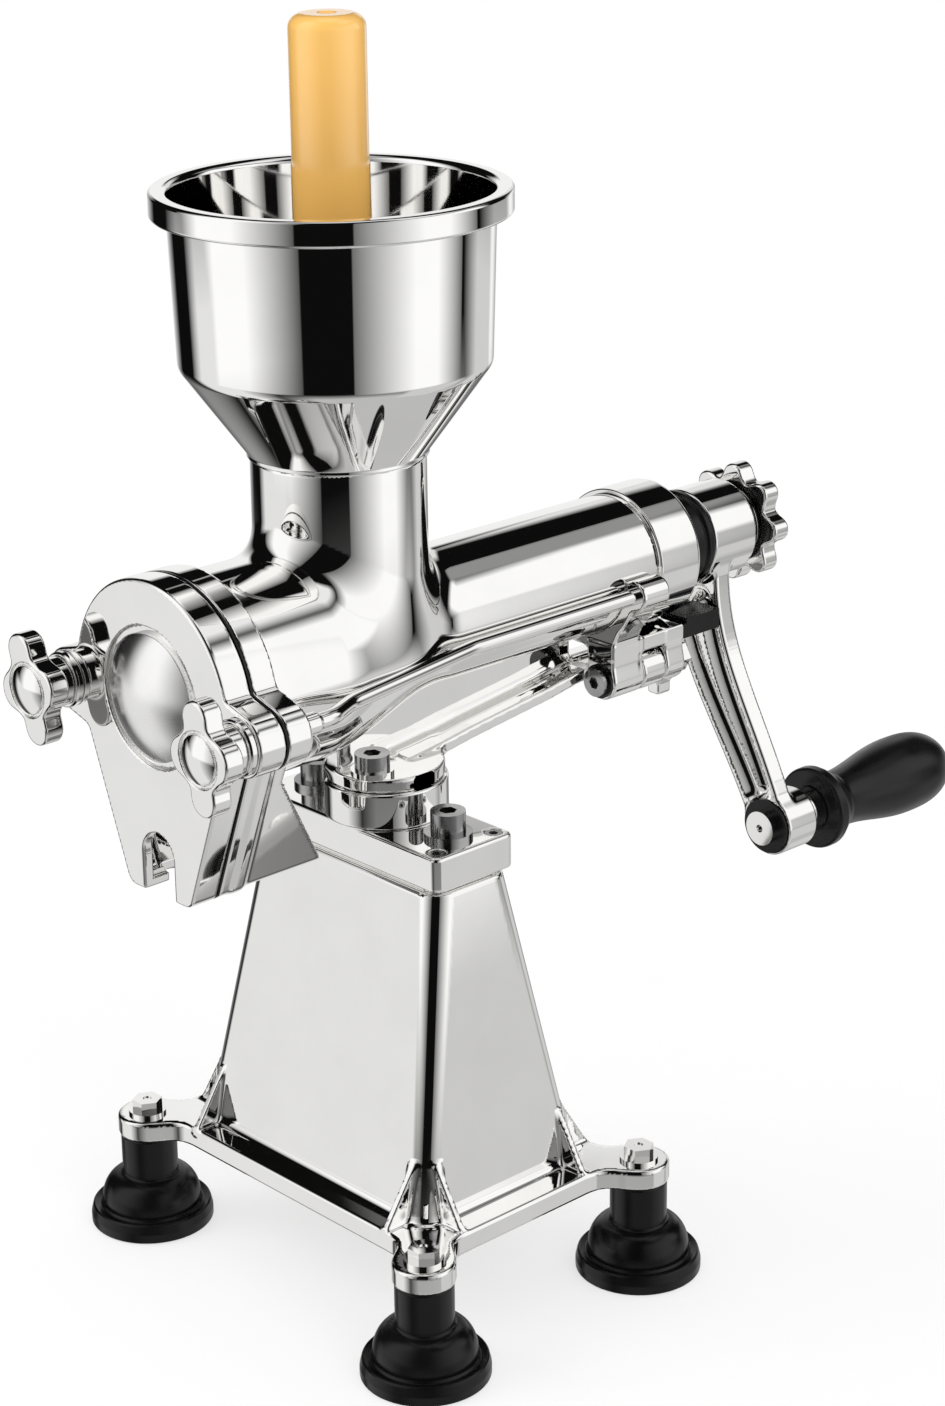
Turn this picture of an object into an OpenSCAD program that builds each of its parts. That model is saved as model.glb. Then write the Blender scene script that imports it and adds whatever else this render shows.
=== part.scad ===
// Hand crank meat grinder on a pyramid pedestal with four suction feet.
// Millimetres. +Z is up, the front cover faces -Y and the crank is at +Y.
// The origin is on the table, under the centre of the machine's outer box.

/* [Feet] */
// Half the spacing of the feet across the machine
foot_dx = 80.5; // [74:0.5:95]
// Half the spacing of the feet along the machine
foot_dy = 55; // [50:0.5:70]
// Height of a foot, from the table to the base plate
foot_h = 37.5; // [32:0.5:50]
// Radius of the suction cup's lip
lip_r = 24; // [19:0.5:30]
// Height of the suction cup, from its lip to its neck
cup_h = 21.5; // [18:0.5:26]
// Height of the suction cup's lip
lip_h = 7.6; // [6:0.1:9]
// Width of the ledge between the lip's edge and the cup's dome
lip_ledge = 4.6; // [2.5:0.1:6]
// Radius of the foot's neck
foot_neck_r = 10.9; // [9.5:0.1:13]
// Depth of the hollow under the suction cup
cup_hollow = 6; // [3:0.5:8]

/* [Foot bolts] */
// Radius of the foot bolt's thread
foot_bolt_r = 3; // [2.5:0.25:4]
// Across-corners radius of the foot bolt's hexagon head
foot_head_r = 5.8; // [5.2:0.1:7]
// Height of the foot bolt's head
foot_head_h = 4.2; // [3:0.1:6]
// Radius of the foot washer
foot_washer_r = 7.4; // [6.5:0.1:9]
// Thickness of the foot washer
foot_washer_t = 1.3; // [0.8:0.1:2.5]
// Length of the foot bolt's thread below the base plate
foot_thread_len = 17; // [12:0.5:24]
// Outer radius of the steel insert moulded into the foot
insert_r = 6; // [5.5:0.1:7.5]

/* [Pedestal] */
// Half width of the base plate
base_half_x = 77; // [73:0.5:84]
// Half depth of the base plate
base_half_y = 51.5; // [49:0.5:58]
// Thickness of the base plate
base_t = 8.5; // [5:0.5:12]
// Radius of the ears that carry the feet
ear_r = 11.6; // [10:0.1:14]
// Radius of the hollow curve that runs into each ear
ear_fillet = 16; // [8:0.5:20]
// Half width of the tower at its foot
tower_foot_x = 65; // [58:0.5:69]
// Half depth of the tower at its foot
tower_foot_y = 41; // [36:0.5:45]
// Half width of the tower at its top
tower_top_x = 50; // [44:0.5:56]
// Half depth of the tower at its top
tower_top_y = 19; // [17:0.5:26]
// Height of the tower above the base plate
tower_h = 120; // [90:1:150]
// Wall thickness of the tower
tower_wall = 3; // [2:0.25:5]
// Corner radius of the tower
tower_r = 9; // [5:0.5:12]
// Thickness of the tower's top
tower_roof = 6; // [4:0.5:10]
// Height of the small corner ribs
rib_h = 22; // [12:1:32]
// Reach of the small corner ribs
rib_reach = 10; // [6:0.5:11]
// Thickness of the small corner ribs
rib_t = 3; // [2:0.25:4]

/* [Top plate] */
// Height of the raised pad under the top plate
pad_h = 1.5; // [0.5:0.25:3]
// Step from the tower's edge to the pad
pad_step = 3; // [1.5:0.5:5]
// Half width of the top plate
plate_half_x = 51; // [48:0.5:60]
// Half depth of the top plate
plate_half_y = 19.5; // [17.5:0.5:28]
// Thickness of the top plate
plate_t = 13.5; // [8:0.5:18]
// Corner radius of the top plate
plate_corner = 3.5; // [1:0.5:6]
// Distance of the small plate screws from the middle, across the machine
plate_screw_x = 45.5; // [42:0.5:47]
// Distance of the small plate screws from the middle, along the machine
plate_screw_y = 14; // [12:0.5:14.5]
// Radius of the small plate screws
plate_screw_r = 2; // [1.5:0.25:2.5]
// Depth of the small plate screws
plate_screw_len = 10; // [6:0.5:13]
// Height of a small plate screw's head
plate_screw_head = 1.7; // [1:0.1:2.5]
// Distance of the plate's cap screws from the middle
cap_screw_x = 36.5; // [35:0.5:38]
// Radius of a cap screw's thread
cap_screw_r = 4; // [3:0.25:4.5]
// Radius of a cap screw's head
cap_head_r = 6.5; // [5.5:0.1:7]
// Height of a cap screw's head
cap_head_h = 8; // [6:0.5:10]
// Radius of a cap screw's flanged washer
cap_washer_r = 9; // [8:0.25:10]
// Thickness of a cap screw's washer
cap_washer_t = 2; // [1.2:0.1:3]
// Across-corners radius of a hexagon socket
socket_r = 3.4; // [2.5:0.1:4]

/* [Turret and arm] */
// Radius of the turret
turret_r = 23.5; // [20:0.5:25]
// Height of the turret
turret_h = 14; // [10:0.5:20]
// Radius of the arm's foot flange
arm_flange_r = 22.3; // [20:0.1:24]
// Thickness of the arm's foot flange
arm_flange_t = 5.5; // [4:0.5:8]
// Height of the barrel's axis above the turret
arm_rise = 56.5; // [54:0.5:70]
// Thickness of the arm's web
web_t = 7; // [4:0.5:9]
// Distance of the web's middle to the left of the barrel's axis
web_offset = 6.5; // [5:0.5:9]
// Thickness of the arm's lower flange
arm_rib_t = 5; // [3:0.5:7]
// Where the arm's edge bends, behind the pedestal's centre
arm_knee_y = 80; // [60:1:90]
// How far the arm's edge falls from its rear end to the bend
arm_knee_drop = 3.5; // [2:0.5:8]
// Right edge of the arm's lower flange
arm_rib_right = 8; // [5:0.5:10]
// Left edge of the arm's lower flange
arm_rib_left = 14; // [12:0.5:16]

/* [Rear bracket] */
// Thickness of the band under the barrel
band_t = 5; // [3.5:0.25:7]
// Width of the band along the barrel
band_w = 14; // [10:0.5:18]
// Distance from the band's rear edge to the tube's rear end
band_inset = 4; // [0.5:0.25:6]
// Radius of the screws that hold the band to the barrel
bracket_screw_r = 2; // [1.5:0.25:2.5]
// Radius of the heads of those screws
bracket_screw_head_r = 3.6; // [3:0.1:4.5]
// Height of the heads of those screws
bracket_screw_head_h = 2; // [1:0.25:3]
// Depth to which those screws enter the barrel's wall
bracket_screw_bite = 2; // [1.5:0.1:2.4]
// Distance of the pivot bolt to the right of the barrel's axis
pivot_x = 12; // [10:0.5:14]
// Distance of the pivot bolt below the barrel's axis
pivot_drop = 43; // [42:0.5:46]
// Radius of the pivot lugs
lug_r = 7.8; // [7:0.1:8.5]
// Radius of the pivot bolt
pivot_r = 3.5; // [3:0.25:4]
// Length of the front pivot lug
lug_front_len = 16.5; // [12:0.5:18]
// Length of the middle pivot lug
lug_mid_len = 12; // [9:0.5:14]
// Length of the rear pivot lug
lug_rear_len = 10; // [8:0.5:12]

/* [Barrel] */
// Distance of the filling neck in front of the pedestal's centre
neck_front = 16.5; // [10:0.5:22]
// Distance from the neck's axis to the back of the front flange
head_reach = 64.5; // [60:0.5:75]
// Thickness of the front flange
flange_t = 10.7; // [8:0.5:14]
// Radius of the barrel's head
head_r = 38.5; // [37.5:0.25:40]
// Length of the straight part of the head
head_len = 29; // [24:0.5:31]
// Radius of the barrel's tube
tube_r = 25.5; // [25:0.25:27]
// Wall thickness of the barrel's tube
tube_wall = 3.5; // [2.5:0.25:4]
// Distance from the neck's axis to the tube's rear end
tube_reach = 137.5; // [120:0.5:150]
// Outer radius of the filling neck
neck_r = 31.3; // [29:0.1:33]
// Wall thickness of the filling neck
neck_wall = 3.5; // [2.5:0.25:4.5]
// Height of the neck's top above the barrel's axis
neck_h = 70; // [60:0.5:80]
// Width of the flat foot ring where the neck meets the hopper
neck_lip = 1.1; // [0.5:0.1:2]

/* [Rear collar] */
// Radius of the rear collar
collar_r = 27.3; // [26.5:0.1:29]
// Length of the rear collar
collar_len = 22.4; // [16:0.1:36]
// Radius of the collar's rear face
collar_nose_r = 24.7; // [22:0.1:26]
// Length of the spigot that enters the tube
spigot_len = 6; // [4:0.5:8]
// Thickness of the shaft seal
seal_t = 16.3; // [3:0.1:20]
// Outer radius of the shaft seal
seal_r = 19.2; // [17:0.1:24.5]

/* [Hopper] */
// Reach of the hopper's rim beyond its bowl
rim_reach = 6; // [4:0.5:9]
// Height of the hopper's rim
rim_h = 9; // [6:0.5:12]
// Radius of the hopper's bowl at its top
bowl_r = 57; // [54:0.5:59]
// Radius of the hopper's bowl at its bottom
bowl_foot_r = 55.3; // [52:0.1:57]
// Height of the bowl, from its turned edge to the rim's top
bowl_h = 61; // [50:0.5:75]
// Height of the hopper's cone
cone_h = 33.5; // [26:0.5:42]
// Wall thickness of the hopper
hopper_wall = 2; // [1.5:0.25:3]
// Length of the hopper's spout inside the neck
spout_len = 18; // [12:0.5:24]

/* [Front cover] */
// Radius of the cover's round part
cover_r = 42; // [41:0.25:45]
// Thickness of the cover
cover_t = 11.5; // [10.5:0.25:14]
// Thickness of the cover's front wall
cover_wall = 4.5; // [3:0.25:5.5]
// Thickness of the gasket
gasket_t = 0.8; // [0.5:0.1:1.5]
// Depth of the skirt below the barrel's axis
skirt_drop = 74; // [70:0.5:78]
// Half width of the skirt's foot
skirt_half = 18.8; // [17:0.1:21]
// Corner radius of the skirt's foot
skirt_r = 5; // [3:0.25:6]
// Wall thickness of the skirt
skirt_wall = 3.2; // [2.5:0.1:4]
// Half width of the arched outlet
notch_half = 8.5; // [6:0.25:9.5]
// Height of the arched outlet above the skirt's foot
notch_h = 23.5; // [16:0.5:28]
// Length of the outlet's hood behind the flange, at its foot
hood_len = 37; // [28:0.5:42]
// Length of the outlet's hood behind the flange, at its top
hood_top_len = 8; // [4:0.5:12]
// Distance of the studs from the barrel's axis, across the machine
stud_x = 48; // [47:0.25:52]
// Distance of the studs below the barrel's axis
stud_drop = 5; // [3:0.5:8]
// Radius of the ears round the studs
lug_ear_r = 11.3; // [10:0.1:13]
// Radius of the dome in the cover's middle
dome_r = 23; // [20:0.25:24]
// Height of the dome
dome_h = 8; // [5:0.25:10]
// Width of the groove round the dome
groove_w = 2.6; // [1.5:0.1:3.5]
// Depth of the groove round the dome
groove_d = 2; // [1:0.1:2.5]

/* [Studs and tie rods] */
// Radius of a stud's thread
stud_r = 4; // [3.5:0.25:5]
// Radius of a tie rod
rod_r = 3; // [2.5:0.25:3.5]
// Length of the stud in front of the cover
stud_len = 16.5; // [14:0.5:20]
// Distance of a tie rod beside the barrel's head
rod_head_gap = 0.6; // [0.3:0.1:2]
// Height of the knuckle at each bend of a tie rod
rod_knuckle = 0.3; // [0.3:0.1:0.8]

/* [Front knobs] */
// Reach of a cloverleaf knob's two long lobes
clover_r = 20.3; // [17:0.1:23]
// Radius of the long lobes' ends
clover_lobe_r = 6.3; // [5:0.1:7.5]
// Reach of the two short lobes
clover_short_r = 15.2; // [13:0.1:18]
// Radius of the short lobes' ends
clover_short_lobe_r = 7.4; // [6:0.1:9]
// Angle at which the left knob is tightened
left_knob_turn = 16; // [-45:1:45]
// Angle at which the right knob is tightened
right_knob_turn = 6; // [-45:1:45]
// Thickness of a cloverleaf
clover_t = 8; // [6:0.5:10]
// Radius of a knob's hub
clover_hub_r = 9; // [7.5:0.25:10]
// Length of a knob's hub
clover_hub_len = 6.5; // [5:0.5:9]
// Radius of the domed middle of a knob
clover_dome_r = 8.8; // [7.5:0.1:11]
// Height of the domed middle of a knob
clover_dome_h = 4; // [2:0.25:6]
// Radius of the loose collar behind a knob
loose_collar_r = 10.2; // [8.5:0.1:11]
// Thickness of the loose collar behind a knob
loose_collar_t = 3; // [2:0.25:5]
// Pitch of the stud's thread
stud_pitch = 1.25; // [1:0.05:1.5]

/* [Auger and cutting set] */
// Radius of the auger's flight
auger_r = 21.5; // [20:0.1:21.7]
// Radius of the auger's core
core_r = 10.5; // [9.5:0.25:12]
// Number of turns of the auger's flight
auger_turns = 5; // [4:0.5:6]
// Thickness of the auger's flight
flight_t = 4; // [3:0.25:6]
// Radius of the perforated plate
sieve_r = 31; // [30:0.25:32]
// Thickness of the perforated plate
sieve_t = 8; // [6:0.5:9]
// Radius of the holes in the perforated plate
sieve_hole_r = 2.3; // [1.5:0.1:2.5]
// Reach of the knife's blades
knife_r = 28.5; // [25:0.5:29.5]
// Thickness of the knife
knife_t = 7.5; // [6:0.5:9]
// Width of the square that drives the knife
knife_square = 11; // [9:0.5:12]
// Radius of the front bearing pin
front_pin_r = 6; // [5:0.25:7]

/* [Drive shaft] */
// Radius of the drive shaft in its bush
shaft_r = 9; // [8:0.25:10]
// Radius of the shaft's seat for the crank
seat_r = 7.5; // [6.5:0.25:8]
// Radius of the shaft's threaded end
shaft_thread_r = 5; // [4:0.25:6]
// Wall thickness of the bushes
bush_wall = 3; // [2:0.25:4]

/* [Crank] */
// Distance from the crank's axis to the grip's axis
crank_throw = 120; // [100:1:150]
// Angle of the crank from straight down
crank_lean = 22.4; // [0:0.1:45]
// Radius of the crank's hub
hub_r = 19; // [17:0.5:21]
// Length of the crank's hub
hub_len = 23.7; // [18:0.1:34]
// Distance from the hub's front face to the arm
arm_setback = 3.2; // [2:0.1:12]
// Thickness of the crank's arm
arm_t = 8.5; // [7:0.5:11]
// Width of the crank's arm at the hub
arm_w_hub = 27; // [22:0.5:30]
// Width of the crank's arm at the grip
arm_w_end = 19; // [16:0.5:22]
// Sideways sway of the crank's arm
arm_sway = 15; // [0:0.5:20]
// Depth of the channel in the arm's front face
channel_d = 3; // [1.5:0.25:3.5]
// Width of the ribs beside the channel
channel_rib = 3.2; // [2.5:0.1:4]
// Radius of the boss at the grip
boss_r = 12.3; // [11:0.1:14]
// Length of the boss at the grip
boss_len = 16.5; // [12:0.5:20]

/* [Rear knob] */
// Outer radius of the star knob
star_r = 24; // [21:0.5:27]
// Radius of the star knob's lobes
star_lobe_r = 4.6; // [3.5:0.1:5]
// Number of lobes of the star knob
star_lobes = 8; // [6:1:8]
// Thickness of the star knob
star_t = 11; // [9:0.5:14]
// Thickness of the washer in front of the star knob
star_washer_t = 3.2; // [2:0.1:5]
// Radius of the washer in front of the star knob
star_washer_r = 16.5; // [13:0.5:19]
// Pitch of the shaft's thread
star_pitch = 1.5; // [1.25:0.05:1.75]

/* [Grip] */
// Radius of the grip's flange
grip_flange_r = 16.8; // [15:0.1:19]
// Radius of the grip's waist
grip_waist_r = 11.5; // [10.5:0.1:13]
// Largest radius of the grip's body
grip_r = 16; // [14:0.1:18]
// Length of the grip
grip_len = 79.5; // [65:0.5:95]
// Radius of the grip's bolt
grip_bolt_r = 4; // [3:0.25:5]
// Radius of the steel ferrule
ferrule_r = 9.5; // [8:0.25:11]
// Length of the steel ferrule
ferrule_len = 9; // [5:0.5:12]
// Radius of the washer under the bolt's head
grip_washer_r = 11.2; // [10:0.1:12]
// Thickness of the washer under the bolt's head
grip_washer_t = 1.6; // [1:0.1:2.5]

/* [Pusher] */
// Radius of the pusher
pusher_r = 13.4; // [11:0.1:16]
// Height of the pusher's top above the hopper's rim
pusher_above = 58.5; // [40:0.5:80]
// Radius of the pusher's rounded ends
pusher_round = 10; // [6:0.5:11]
// Depth of the moulded dimple in the pusher's top
dimple_d = 0.8; // [0.4:0.1:1.5]

/* [Fits] */
// Running clearance of a shaft in its bush
run_fit = 0.05; // [0.02:0.01:0.1]
// Clearance between a moving piece and its neighbour
move_gap = 0.3; // [0.2:0.05:0.4]
// Clearance of a bolt in its hole
bolt_gap = 0.2; // [0.1:0.05:0.3]
// Clearance of a piece that is pushed in by hand
slip_gap = 0.1; // [0.05:0.05:0.2]

/* [Hidden] */
$fn = 96;
cut = 1;

// Heights
base_z = foot_h;
base_top = base_z + base_t;
tower_top = base_top + tower_h;
plate_z = tower_top + pad_h;
plate_top = plate_z + plate_t;
plate_screw_z = plate_top - plate_screw_head - move_gap;
plate_screw_head_r = plate_screw_r * 1.7;
turret_top = plate_top + turret_h;
flange_top = turret_top + arm_flange_t;
axis_z = turret_top + arm_rise;
neck_top = axis_z + neck_h;
bowl_z = neck_top + cone_h;
rim_top = bowl_z + bowl_h;
rim_r = bowl_r + rim_reach;
stud_z = axis_z - stud_drop;
skirt_z = axis_z - skirt_drop;
pivot_z = axis_z - pivot_drop;

// Places along the barrel, measured from the pedestal's centre
neck_y = -neck_front;
flange_back = neck_y - head_reach;
flange_front = flange_back - flange_t;
cover_back = flange_front - gasket_t;
cover_front = cover_back - cover_t;
tube_end = neck_y + tube_reach;
collar_end = tube_end + collar_len;
hub_front = collar_end + seal_t + move_gap;
hub_back = hub_front + hub_len;
arm_front = hub_front + arm_setback;
arm_back = arm_front + arm_t;
boss_back = arm_front + boss_len;

// Front knobs
loose_back = cover_front - slip_gap;
loose_front = loose_back - loose_collar_t;
clover_hub_back = loose_front - slip_gap;
clover_back = clover_hub_back - clover_hub_len;
clover_front = clover_back - clover_t;
stud_end = cover_front - stud_len;

// Cutting set
sieve_seat_d = 4.5;
sieve_front = flange_front + sieve_seat_d;
sieve_back = sieve_front + sieve_t;
knife_front = sieve_back + move_gap;
knife_back = knife_front + knife_t;
chamber_back = knife_back + 4;
auger_front = knife_back + 0.5;
thrust_t = 1.8;
auger_len = tube_end - spigot_len - thrust_t - 2 * slip_gap - auger_front;
auger_back = auger_front + auger_len;
spigot_front = tube_end - spigot_len;
pin_end = cover_front + 3;
bore_r = tube_r - tube_wall;
chamber_r = sieve_r - 0.5;
plate_key_w = 3;
key_depth = 2;
front_boss_r = front_pin_r + bush_wall + 3;

// Rear knob
washer_front = hub_back + slip_gap;
washer_back = washer_front + star_washer_t;
star_front = washer_back + slip_gap;
star_back = star_front + star_t;
shaft_end = star_back - 3;

// Grip
grip_x = crank_throw * sin(crank_lean);
grip_z = axis_z - crank_throw * cos(crank_lean);
ferrule_front = boss_back + slip_gap;
ferrule_back = ferrule_front + ferrule_len;
grip_front = ferrule_back + move_gap;
grip_back = grip_front + grip_len;
grip_bolt_end = grip_front + grip_len - 22;
grip_head_t = 3.5;

// Pusher
pusher_z = axis_z + auger_r + move_gap;
pusher_top = rim_top + pusher_above;

// Bracket and pivot
band_front = tube_end - band_inset - band_w;
band_back = band_front + band_w;
lug1_front = band_front;
lug1_back = lug1_front + lug_front_len;
lug2_front = lug1_back + move_gap;
lug2_back = lug2_front + lug_mid_len;
lug3_front = lug2_back + move_gap;
lug3_back = lug3_front + lug_rear_len;
bridge_t = 6;
bridge_top = axis_z - collar_r - move_gap;
rod_x = tube_r + rod_r + 1;
buffer_w = 14;
buffer_gap = 1;
pivot_head_r = 5.6;
pivot_head_t = 2.5;
pivot_washer_r = 6.8;
pivot_washer_t = 1.2;
pivot_nut_r = 6.4;
pivot_nut_t = 5;
pivot_head_front = lug1_front - pivot_washer_t - pivot_head_t;

// The whole machine is moved along Y so that its outer box is centred
front_most = clover_front - clover_dome_h;
frame_y = -(front_most + grip_back) / 2;

steel = [0.82, 0.82, 0.8];
dark_steel = [0.55, 0.55, 0.54];
black = [0.05, 0.05, 0.05];
bronze = [0.7, 0.52, 0.3];
cream = [0.98, 0.8, 0.5];

// ---- Helpers ------------------------------------------------------------

// Moves a piece from the pedestal's centre to the machine's frame
module in_frame() {
  translate([0, frame_y, 0])
    children();
}

// A round bar parallel to the barrel
module bar_y(x, z, y0, y1, r) {
  translate([x, y0, z])
    rotate([-90, 0, 0])
      cylinder(h = y1 - y0, r = r);
}

// A profile of radius and distance, turned about a line parallel to the barrel
module turned_y(x, z, y0) {
  translate([x, y0, z])
    rotate([-90, 0, 0])
      rotate_extrude()
        children();
}

// An outline drawn in X and Z, made thick between two places along the barrel
module slab_y(y0, y1) {
  translate([0, y1, 0])
    rotate([90, 0, 0])
      linear_extrude(height = y1 - y0)
        children();
}

// An outline drawn in Y and Z, made thick between two places across the machine
module slab_x(x0, x1) {
  translate([x0, 0, 0])
    rotate([90, 0, 90])
      linear_extrude(height = x1 - x0)
        children();
}

// The exact shape that a belt round two discs encloses
module belt(c0, r0, c1, r1) {
  d = norm(c1 - c0);
  phi = atan2(c1[1] - c0[1], c1[0] - c0[0]);
  spread = acos((r0 - r1) / d);
  n0 = [cos(phi + spread), sin(phi + spread)];
  n1 = [cos(phi - spread), sin(phi - spread)];
  translate(c0)
    circle(r = r0);
  translate(c1)
    circle(r = r1);
  polygon([c0 + r0 * n0, c0 + r0 * n1, c1 + r1 * n1, c1 + r1 * n0]);
}

// A rectangle with round corners, centred
module round_rect(half_x, half_y, r) {
  square([2 * half_x, 2 * (half_y - r)], center = true);
  square([2 * (half_x - r), 2 * half_y], center = true);
  for (sx = [-1, 1])
    for (sy = [-1, 1])
      translate([sx * (half_x - r), sy * (half_y - r)])
        circle(r = r);
}

module at_feet() {
  for (sx = [-1, 1])
    for (sy = [-1, 1])
      translate([sx * foot_dx, sy * foot_dy, 0])
        children();
}

module at_plate_screws() {
  for (sx = [-1, 1])
    for (sy = [-1, 1])
      translate([sx * plate_screw_x, sy * plate_screw_y, 0])
        children();
}

module at_cap_screws() {
  for (sx = [-1, 1])
    translate([sx * cap_screw_x, 0, 0])
      children();
}

// ---- Feet ---------------------------------------------------------------

module foot_profile() {
  edge_w = 3.5;
  lip_taper = 0.8;
  lip_round = 0.6;
  dome_r = lip_r - lip_ledge;
  dome_z = lip_h + 1.4;
  neck_fillet = 0.6;
  fillet_z = cup_h - 1.5;
  dome_foot_r = foot_neck_r + neck_fillet;
  difference() {
    polygon([
      [0, cup_hollow], [lip_r - edge_w, 0], [lip_r, 0], [lip_r, lip_h / 2],
      [lip_r - lip_taper, lip_h - lip_round], [lip_r - lip_taper - lip_round, lip_h],
      [dome_r + lip_round, lip_h - lip_round], [dome_r, lip_h],
      for (a = [0:10:80])
        [dome_foot_r + (dome_r - dome_foot_r) * cos(a), dome_z + (fillet_z - dome_z) * sin(a)],
      [dome_foot_r, fillet_z], [foot_neck_r, cup_h], [foot_neck_r, base_z], [0, base_z]
    ]);
    translate([-cut, base_z - foot_thread_len - 1])
      square([insert_r + cut, foot_thread_len + 1 + cut]);
  }
}

module suction_foot(sx, sy) {
  in_frame()
    translate([sx * foot_dx, sy * foot_dy, 0])
      rotate_extrude()
        foot_profile();
}

module foot_front_left() {
  color(black) suction_foot(-1, -1);
}

module foot_front_right() {
  color(black) suction_foot(1, -1);
}

module foot_rear_left() {
  color(black) suction_foot(-1, 1);
}

module foot_rear_right() {
  color(black) suction_foot(1, 1);
}

module foot_inserts() {
  color(dark_steel)
    in_frame()
      at_feet()
        translate([0, 0, base_z - foot_thread_len - 1])
          difference() {
            cylinder(h = foot_thread_len + 1, r = insert_r);
            translate([0, 0, 1])
              cylinder(h = foot_thread_len + cut, r = foot_bolt_r);
          }
}

module foot_bolts() {
  color(steel)
    in_frame()
      at_feet() {
        translate([0, 0, base_z - foot_thread_len])
          cylinder(h = foot_thread_len + base_t + foot_washer_t, r = foot_bolt_r);
        translate([0, 0, base_top + foot_washer_t])
          difference() {
            cylinder(h = foot_head_h, r = foot_head_r, $fn = 6);
            translate([0, 0, foot_head_h - 0.5])
              cylinder(h = cut, r = foot_bolt_r * 0.55);
          }
      }
}

module foot_washers() {
  color(steel)
    in_frame()
      at_feet()
        translate([0, 0, base_top])
          difference() {
            cylinder(h = foot_washer_t, r = foot_washer_r);
            translate([0, 0, -cut])
              cylinder(h = foot_washer_t + 2 * cut, r = foot_bolt_r + bolt_gap);
          }
}

// ---- Pedestal -----------------------------------------------------------

// Fills the corner between the plate's straight edge and an ear.
// (along, across) is the ear's place measured from the plate's edge lines.
module ear_blend(ear_along, edge, ear_across) {
  // centre of the hollow curve: touches the edge and the ear from outside
  cy = edge + ear_fillet;
  cx = ear_along - sqrt(pow(ear_r + ear_fillet, 2) - pow(cy - ear_across, 2));
  touch = [
    ear_along + (cx - ear_along) * ear_r / (ear_r + ear_fillet),
    ear_across + (cy - ear_across) * ear_r / (ear_r + ear_fillet)
  ];
  difference() {
    polygon([[cx, edge - 1], [cx, edge], [cx, cy], touch, [ear_along, ear_across], [ear_along, edge - 1]]);
    translate([cx, cy])
      circle(r = ear_fillet);
  }
}

module base_outline() {
  square([2 * base_half_x, 2 * base_half_y], center = true);
  for (sx = [-1, 1])
    for (sy = [-1, 1])
      scale([sx, sy]) {
        translate([foot_dx, foot_dy])
          circle(r = ear_r);
        ear_blend(foot_dx, base_half_y, foot_dy);
        mirror([1, -1])
          ear_blend(foot_dy, base_half_x, foot_dx);
      }
}

// A four-sided tower with round corners between two heights
module tower_solid(foot_x, foot_y, z0, top_x, top_y, z1, r) {
  hull() {
    for (sx = [-1, 1])
      for (sy = [-1, 1]) {
        translate([sx * (foot_x - r), sy * (foot_y - r), z0])
          cylinder(h = 0.01, r = r, $fn = 32);
        translate([sx * (top_x - r), sy * (top_y - r), z1 - 0.01])
          cylinder(h = 0.01, r = r, $fn = 32);
      }
  }
}

// A small three-cornered rib standing on the base plate beside the tower
module corner_rib(across) {
  lean_in = (across ? tower_foot_x - tower_top_x : tower_foot_y - tower_top_y) * rib_h / tower_h;
  polygon([[-lean_in - 2, 0], [rib_reach, 0], [-lean_in, rib_h], [-lean_in - 2, rib_h]]);
}

module corner_ribs() {
  rib_in = tower_r + 1;
  for (sx = [-1, 1])
    for (sy = [-1, 1])
      scale([sx, sy, 1]) {
        translate([tower_foot_x, tower_foot_y - rib_in, base_top])
          rotate([90, 0, 0])
            linear_extrude(height = rib_t, center = true)
              corner_rib(true);
        translate([tower_foot_x - rib_in, tower_foot_y, base_top])
          rotate([90, 0, 90])
            linear_extrude(height = rib_t, center = true)
              corner_rib(false);
      }
}

module pedestal() {
  wall = tower_wall;
  r_in = max(tower_r - wall, 1);
  color(steel)
    in_frame()
      difference() {
        union() {
          translate([0, 0, base_z])
            linear_extrude(height = base_t)
              base_outline();
          tower_solid(tower_foot_x, tower_foot_y, base_top - 0.5, tower_top_x, tower_top_y, tower_top, tower_r);
          corner_ribs();
          translate([0, 0, tower_top - cut])
            linear_extrude(height = pad_h + cut)
              round_rect(tower_top_x - pad_step, tower_top_y - pad_step, tower_r - pad_step);
        }
        tower_solid(tower_foot_x - wall, tower_foot_y - wall, base_z - cut,
                    tower_top_x - wall, tower_top_y - wall, tower_top - tower_roof, r_in);
        at_feet()
          translate([0, 0, base_z - cut])
            cylinder(h = base_t + 2 * cut, r = foot_bolt_r + bolt_gap);
        at_cap_screws()
          translate([0, 0, tower_top - tower_roof - cut])
            cylinder(h = tower_roof + pad_h + 2 * cut, r = cap_screw_r);
      }
}

// ---- Top plate ----------------------------------------------------------

module top_plate() {
  color(steel)
    in_frame()
      difference() {
        translate([0, 0, plate_z])
          linear_extrude(height = plate_t)
            round_rect(plate_half_x, plate_half_y, plate_corner);
        at_cap_screws()
          translate([0, 0, plate_z - cut])
            cylinder(h = plate_t + 2 * cut, r = cap_screw_r + bolt_gap);
        at_plate_screws()
          translate([0, 0, plate_top - plate_screw_len])
            cylinder(h = plate_screw_len + cut, r = plate_screw_r);
        at_plate_screws()
          translate([0, 0, plate_screw_z])
            cylinder(h = plate_top - plate_screw_z + cut, r = plate_screw_head_r);
        translate([0, 0, plate_top - 8])
          translate([arm_screw_x, arm_screw_y, 0])
            cylinder(h = 8 + cut, r = cap_screw_r);
      }
}

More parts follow.
